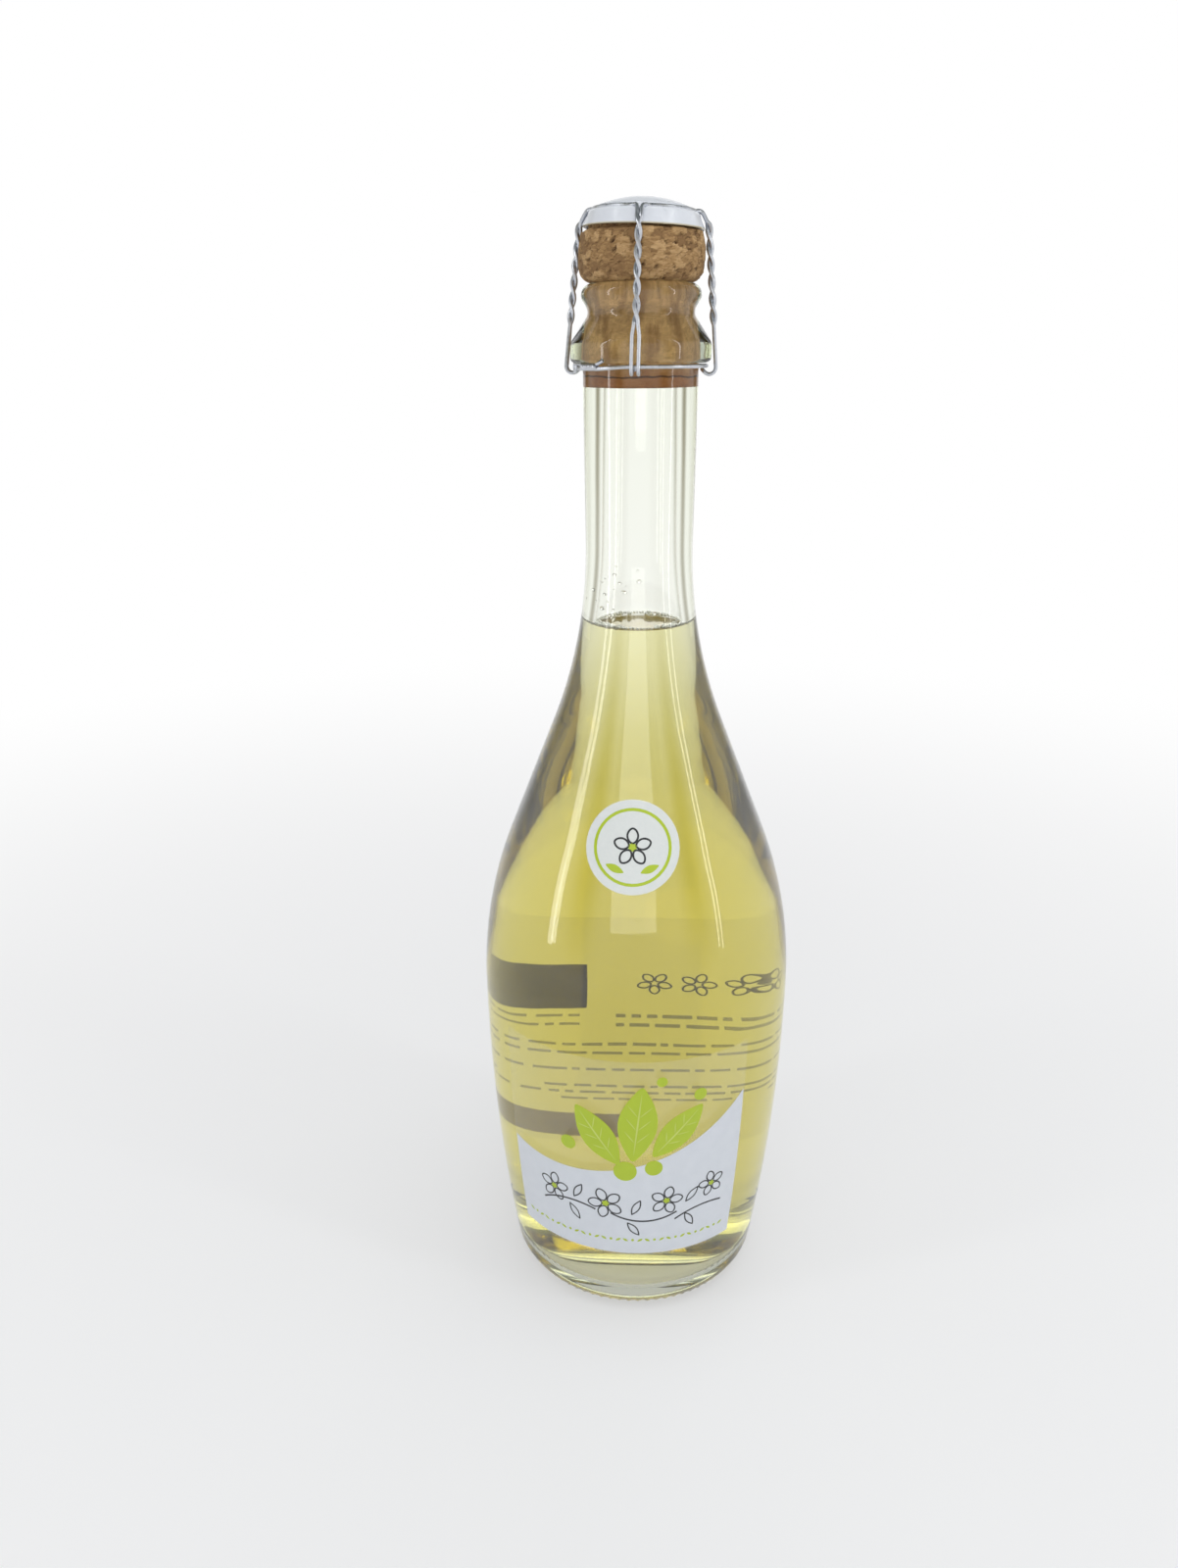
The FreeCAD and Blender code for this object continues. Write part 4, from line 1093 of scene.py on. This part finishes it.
def add_arc(bm, place, radius, begin, turn, line):
    """Adds a curved line: a short edge spun about the arc's centre."""
    verts = [bm.verts.new((radius + side * line / 2, 0, 0)) for side in (-1, 1)]
    edge = bm.edges.new(verts)
    bmesh.ops.rotate(bm, verts=verts, matrix=Matrix.Rotation(math.radians(begin), 3, "Z"))
    bmesh.ops.translate(bm, verts=verts, vec=(*place, 0))
    bmesh.ops.spin(bm, geom=[*verts, edge], cent=(*place, 0), axis=(0, 0, 1), angle=math.radians(turn),
                   steps=max(4, math.ceil(abs(math.radians(turn)) * radius / 1.2)))


def add_flower(bm, place, size, turn=0.0, line=0.0):
    """Adds a flower of five round petals."""
    for petal in range(5):
        angle = turn + 72 * petal
        away = Vector((math.cos(math.radians(angle)), math.sin(math.radians(angle)))) * size * 0.6
        add_oval(bm, (place[0] + away.x, place[1] + away.y), size * 0.44, size * 0.33, angle, 0.15, line)


def strips(bm, step, axis):
    """Slices a flat sheet into strips no wider than a step."""
    low = min(vert.co[axis] for vert in bm.verts)
    high = max(vert.co[axis] for vert in bm.verts)
    normal = [0, 0, 0]
    normal[axis] = 1
    for index in range(math.ceil(low / step), math.floor(high / step) + 1):
        cut = [0, 0, 0]
        cut[axis] = index * step
        bmesh.ops.bisect_plane(bm, geom=bm.verts[:] + bm.edges[:] + bm.faces[:], dist=1e-4,
                               plane_co=cut, plane_no=normal)


STRIP = 2.0


def face_up(bm, low, high):
    """Turns every flat face up and gives the sheet its thickness between two heights."""
    bmesh.ops.recalc_face_normals(bm, faces=bm.faces)
    bm.normal_update()
    bmesh.ops.reverse_faces(bm, faces=[face for face in bm.faces if face.normal.z < 0])
    bmesh.ops.translate(bm, verts=bm.verts, vec=(0, 0, high))
    bmesh.ops.solidify(bm, geom=bm.faces[:], thickness=high - low)


def wrap_wall(bm, low, high, turn=0.0):
    """Bends a flat sheet round the lower wall, lying between two heights above the glass."""
    strips(bm, STRIP, 0)
    strips(bm, STRIP * 2, 1)
    face_up(bm, low, high)
    for vert in bm.verts:
        across, height, lift = vert.co
        vert.co = round_axis(turn + math.degrees(across / BELLY), wall_radius(height) + lift, height)


# %% Inks and film
def screen_ink(name, light, dark, roughness=0.38, alpha=1.0, see_through=0.0):
    """Screen-printed ink under a thin gloss: even, with a slight mottle."""
    material, tree, shader, output = new_material(name)
    place = add(tree, "ShaderNodeTexCoord").outputs["Object"]
    mottle = add(tree, "ShaderNodeTexNoise", {"Vector": place, "Scale": 260.0, "Detail": 4.0})
    tint = add(tree, "ShaderNodeMix", {MIX_FACTOR: mottle.outputs["Fac"], MIX_A: srgb(dark), MIX_B: srgb(light)},
               data_type="RGBA")
    tree.links.new(tint.outputs[MIX_RESULT], shader.inputs["Base Color"])
    set_sockets(shader, Roughness=roughness, Coat_Weight=0.25, Coat_Roughness=0.1, Alpha=alpha,
                Transmission_Weight=see_through)
    fine = add(tree, "ShaderNodeTexNoise", {"Vector": place, "Scale": 1800.0, "Detail": 2.0})
    bump(tree, shader, fine.outputs["Fac"], 0.008)
    return material


def label_film(name, code, alpha):
    """Clear film: almost nothing but its gloss and its cut edge."""
    material, tree, shader, output = new_material(name)
    set_sockets(shader, Base_Color=srgb(code), Roughness=0.08, IOR=1.49, Alpha=alpha)
    return material


white_ink = screen_ink("white screen ink", "E6EAF0", "DADFE6")
lime_ink = screen_ink("lime green screen ink", "BAD02C", "B2C826")
pale_ink = screen_ink("pale lime screen ink", "D6E37C", "CCDA6C")
dark_ink = screen_ink("near-black screen ink", "2A2D30", "1B1D20", 0.3)
olive_ink = screen_ink("dark olive screen ink", "2C2C22", "22221A")
grey_ink = screen_ink("grey screen ink, thinly laid", "7A775F", "6C694F", alpha=0.42)
taupe_ink = screen_ink("see-through taupe ink", "A08C3E", "968235", see_through=0.8)

# %% Front film
FILM = 0.08
LABEL_LEFT, LABEL_RIGHT = -55.5, 41.5


def side_length(turn):
    """The distance along the bottle's side for a turn."""
    return math.radians(turn) * BELLY


def add_sheet(bm, left, right, bottom, top):
    """Adds a flat oblong between two turns and two heights."""
    made = bmesh.ops.create_grid(bm, x_segments=1, y_segments=1, size=1)["verts"]
    for vert in made:
        vert.co.x = side_length(right if vert.co.x > 0 else left)
        vert.co.y = top if vert.co.y > 0 else bottom


bm = bmesh.new()
film_low, film_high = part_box("front_label")[0].z / MM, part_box("front_label")[1].z / MM
add_sheet(bm, LABEL_LEFT, LABEL_RIGHT, film_low, film_high)
wrap_wall(bm, 0.01, FILM)
finish_piece("front_film", bm, label_film("clear label film", "FFFFFF", 0.06), "printed_film", "front_label")

# %% White field with a bowed top edge
FIELD_INSET = 0.5
FIELD_BOTTOM = 24.3
BOW_CENTRE, BOW_RADIUS = (-26.0, 139.5), 86.0
bm = bmesh.new()
bmesh.ops.create_grid(bm, x_segments=48, y_segments=14, size=1)
field_left, field_right = side_length(LABEL_LEFT) + FIELD_INSET, side_length(LABEL_RIGHT) - FIELD_INSET
for vert in bm.verts:
    across = field_left + (field_right - field_left) * (vert.co.x + 1) / 2
    edge = BOW_CENTRE[1] - math.sqrt(BOW_RADIUS ** 2 - (across - BOW_CENTRE[0]) ** 2)
    vert.co.x, vert.co.y = across, FIELD_BOTTOM + (edge - FIELD_BOTTOM) * (vert.co.y + 1) / 2
face_up(bm, FILM, FILM + INK)
for vert in bm.verts:
    across, height, lift = vert.co
    vert.co = round_axis(math.degrees(across / BELLY), wall_radius(height) + lift, height)
finish_piece("front_white_field", bm, white_ink, "printed_film")

# %% Lime leaves and berries above the field
LEAVES = [((-12.5, 67.0), 11.0, 4.9, 124), ((-1.0, 71.5), 12.5, 5.6, 84), ((10.5, 68.5), 10.5, 4.6, 48)]
BERRIES = [((-4.5, 55.5), 3.4), ((3.8, 56.6), 2.6), ((-21.5, 62.5), 2.3), ((16.8, 79.8), 1.9), ((5.6, 85.6), 1.5)]
bm = bmesh.new()
for place, half_length, half_width, turn in LEAVES:
    add_oval(bm, place, half_length, half_width, turn, 0.55)
for place, size in BERRIES:
    add_oval(bm, place, size, size)
wrap_wall(bm, FILM, FILM + INK * 2)
finish_piece("front_lime_print", bm, lime_ink, "printed_film")
bm = bmesh.new()
for place, half_length, half_width, turn in LEAVES:
    way = Vector((math.cos(math.radians(turn)), math.sin(math.radians(turn))))
    side = Vector((-way.y, way.x))
    add_oval(bm, place, half_length * 0.84, 0.22, turn, 0.6)
    for along in (-0.45, -0.1, 0.25):
        for lean in (-1, 1):
            spot = Vector(place) + way * (half_length * along + 1.5) + side * lean * half_width * 0.34
            add_oval(bm, spot, half_width * 0.42, 0.13, turn + lean * 42, 0.5)
wrap_wall(bm, FILM + INK * 2, FILM + INK * 3)
finish_piece("front_leaf_veins", bm, pale_ink, "printed_film")

# %% Dark sprig across the field and a lime row under it
bm = bmesh.new()
SPRIG_LINE = 0.55
STEMS = [((-21.0, 22.0), 19.5, 124, -56), ((1.2, 58.0), 21.0, -119, 58), ((21.5, 21.0), 19.0, 124, -50)]
for place, radius, begin, turn in STEMS:
    add_arc(bm, place, radius, begin, turn, SPRIG_LINE)
FLOWERS = [((-27.5, 44.2), 4.9, 12), ((-10.5, 43.0), 5.4, 40), ((8.0, 44.3), 5.0, 5), ((22.5, 47.0), 4.4, 30)]
for place, size, turn in FLOWERS:
    add_flower(bm, place, size, turn, 0.42)
TWIG_LEAVES = [(-19.2, 45.6, 62), (-20.6, 37.4, -58), (-2.0, 34.0, -52), (-1.2, 42.2, 64), (15.6, 35.8, -60), (16.0, 45.0, 50)]
for across, up, turn in TWIG_LEAVES:
    add_oval(bm, (across, up), 3.1, 1.25, turn, 0.55, 0.4)
wrap_wall(bm, FILM + INK, FILM + INK * 2)
finish_piece("front_dark_print", bm, dark_ink, "printed_film")
bm = bmesh.new()
for place, size, turn in FLOWERS:
    add_oval(bm, place, size * 0.2, size * 0.2)
ROW_HEIGHT, ROW_STEP = 29.6, 2.3
count = int((field_right - field_left - 6) / ROW_STEP)
for index in range(count):
    across = field_left + 3 + ROW_STEP * (index + 0.5)
    if index % 3 == 1:
        add_oval(bm, (across, ROW_HEIGHT), 0.45, 0.45)
    else:
        add_oval(bm, (across, ROW_HEIGHT), 0.95, 0.38, 30 if index % 3 else -30, 0.5)
wrap_wall(bm, FILM + INK, FILM + INK * 2)
finish_piece("front_lime_row", bm, lime_ink, "printed_film")

# %% [markdown]
# The back label is the same clear film with small dark print. No words are set: bars of
# uneven length stand in the place of each line, with a plain block, a flower row and a
# taupe band.

# %% Back film and print
BACK_TURN = 173.0
BACK_HALF = 55.0
bm = bmesh.new()
film_low, film_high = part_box("back_label")[0].z / MM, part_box("back_label")[1].z / MM
add_sheet(bm, -BACK_HALF, BACK_HALF, film_low, film_high)
wrap_wall(bm, 0.01, FILM, BACK_TURN)
finish_piece("back_film", bm, label_film("clear back label film", "FFFFFF", 0.06), "clear_film", "back_label")


def add_bars(bm, chance, left, right, height, thick):
    """Adds one line of bars, as long and as far apart as words."""
    across = left
    while across < right - 1.0:
        length = min(chance.uniform(1.2, 5.2), right - across)
        add_oval_bar(bm, across, across + length, height, thick)
        across += length + chance.uniform(0.7, 1.1)


def add_oval_bar(bm, left, right, height, thick):
    """Adds one bar."""
    made = bmesh.ops.create_grid(bm, x_segments=1, y_segments=1, size=0.5)["verts"]
    for vert in made:
        vert.co.x = left if vert.co.x < 0 else right
        vert.co.y = height + vert.co.y * thick


chance = random.Random(21)
BACK_ROWS = [(66.6, -27, 7, 1.0), (64.0, -27, 7, 1.0), (58.6, -27, 22, 0.85), (55.8, -27, 30, 0.85),
             (50.2, -20, 30, 0.85), (44.6, -20, 18, 0.8), (42.4, -27, 26, 0.8), (40.2, -12, 16, 0.7)]
bm = bmesh.new()
add_oval_bar(bm, 12.0, 30.0, 75.0, 12.5)
for index in range(4):
    add_flower(bm, (-22.0 + index * 7.4, 76.0), 3.1, 18 * index, 0.34)
wrap_wall(bm, FILM, FILM + INK, BACK_TURN)
finish_piece("back_dark_print", bm, olive_ink, "clear_film")
bm = bmesh.new()
for height in (66.8, 64.4):
    add_bars(bm, chance, 13.0, 29.5, height, 0.7)
for height, left, right, thick in BACK_ROWS:
    add_bars(bm, chance, left, right, height, thick)
wrap_wall(bm, FILM, FILM + INK, BACK_TURN)
finish_piece("back_small_print", bm, grey_ink, "clear_film")
bm = bmesh.new()
add_oval_bar(bm, 2.0, side_length(BACK_HALF) - 1.5, 31.0, 8.0)
wrap_wall(bm, FILM, FILM + INK, BACK_TURN)
finish_piece("back_taupe_band", bm, taupe_ink, "clear_film")

# %% [markdown]
# ## Seal
# A round paper seal 25 mm across sits on the straight slope of the shoulder. Paper can't
# stretch, so the flat disc is rolled on to the cone: each point keeps its distance from the
# cone's tip, and its turn grows as the cone narrows. It carries a green ring and a flower.

# %% The seal
SEAL_HEIGHT, SEAL_TURN, SEAL_RADIUS, PAPER = 149.8, -4.3, 12.5, 0.12
slope = math.atan2(SLOPE_LOW[0] - SLOPE_TOP[0], SLOPE_TOP[1] - SLOPE_LOW[1])
seal_radius_there = SLOPE_LOW[0] - (SEAL_HEIGHT - SLOPE_LOW[1]) * math.tan(slope)
tip_distance = seal_radius_there / math.sin(slope)


def wrap_cone(bm, low, high):
    """Rolls a flat sheet on to the shoulder's cone about the seal's middle."""
    strips(bm, STRIP, 0)
    strips(bm, STRIP, 1)
    face_up(bm, low, high)
    for vert in bm.verts:
        across, up, lift = vert.co
        distance = math.hypot(across, tip_distance - up)
        turn = math.degrees(math.atan2(across, tip_distance - up) / math.sin(slope))
        radius = distance * math.sin(slope) + lift * math.cos(slope)
        height = SEAL_HEIGHT + (tip_distance - distance) * math.cos(slope) + lift * math.sin(slope)
        vert.co = round_axis(SEAL_TURN + turn, radius, height)


def coated_paper():
    """Coated white paper: matt-gloss, with a hint of fibre."""
    material, tree, shader, output = new_material("coated white paper")
    place = add(tree, "ShaderNodeTexCoord").outputs["Object"]
    fibre = add(tree, "ShaderNodeTexNoise", {"Vector": place, "Scale": 900.0, "Detail": 5.0, "Roughness": 0.7})
    tint = add(tree, "ShaderNodeMix", {MIX_FACTOR: fibre.outputs["Fac"], MIX_A: srgb("DFE4E2"), MIX_B: srgb("EDF0EC")},
               data_type="RGBA")
    tree.links.new(tint.outputs[MIX_RESULT], shader.inputs["Base Color"])
    set_sockets(shader, Roughness=0.5)
    bump(tree, shader, fibre.outputs["Fac"], 0.02)
    return material


bm = bmesh.new()
add_oval(bm, (0, 0), SEAL_RADIUS, SEAL_RADIUS)
wrap_cone(bm, -0.05, PAPER)
finish_piece("seal_paper_disc", bm, coated_paper(), "seal_paper", "neck_seal")
bm = bmesh.new()
add_oval(bm, (0, 0), 10.3, 10.3, line=0.8)
add_oval(bm, (0, 0), 1.1, 1.1)
for side in (-1, 1):
    add_oval(bm, (side * 4.6, -5.6), 2.6, 1.0, side * 24, 0.55)
wrap_cone(bm, PAPER, PAPER + INK)
finish_piece("seal_green_print", bm, lime_ink, "seal_paper")
bm = bmesh.new()
add_flower(bm, (0, 0), 5.0, 90, 0.5)
wrap_cone(bm, PAPER, PAPER + INK)
finish_piece("seal_dark_print", bm, dark_ink, "seal_paper")

# %% [markdown]
# ## Closing lines
# The last line updates the view layer.

# %% Update the view layer
bpy.context.view_layer.update()
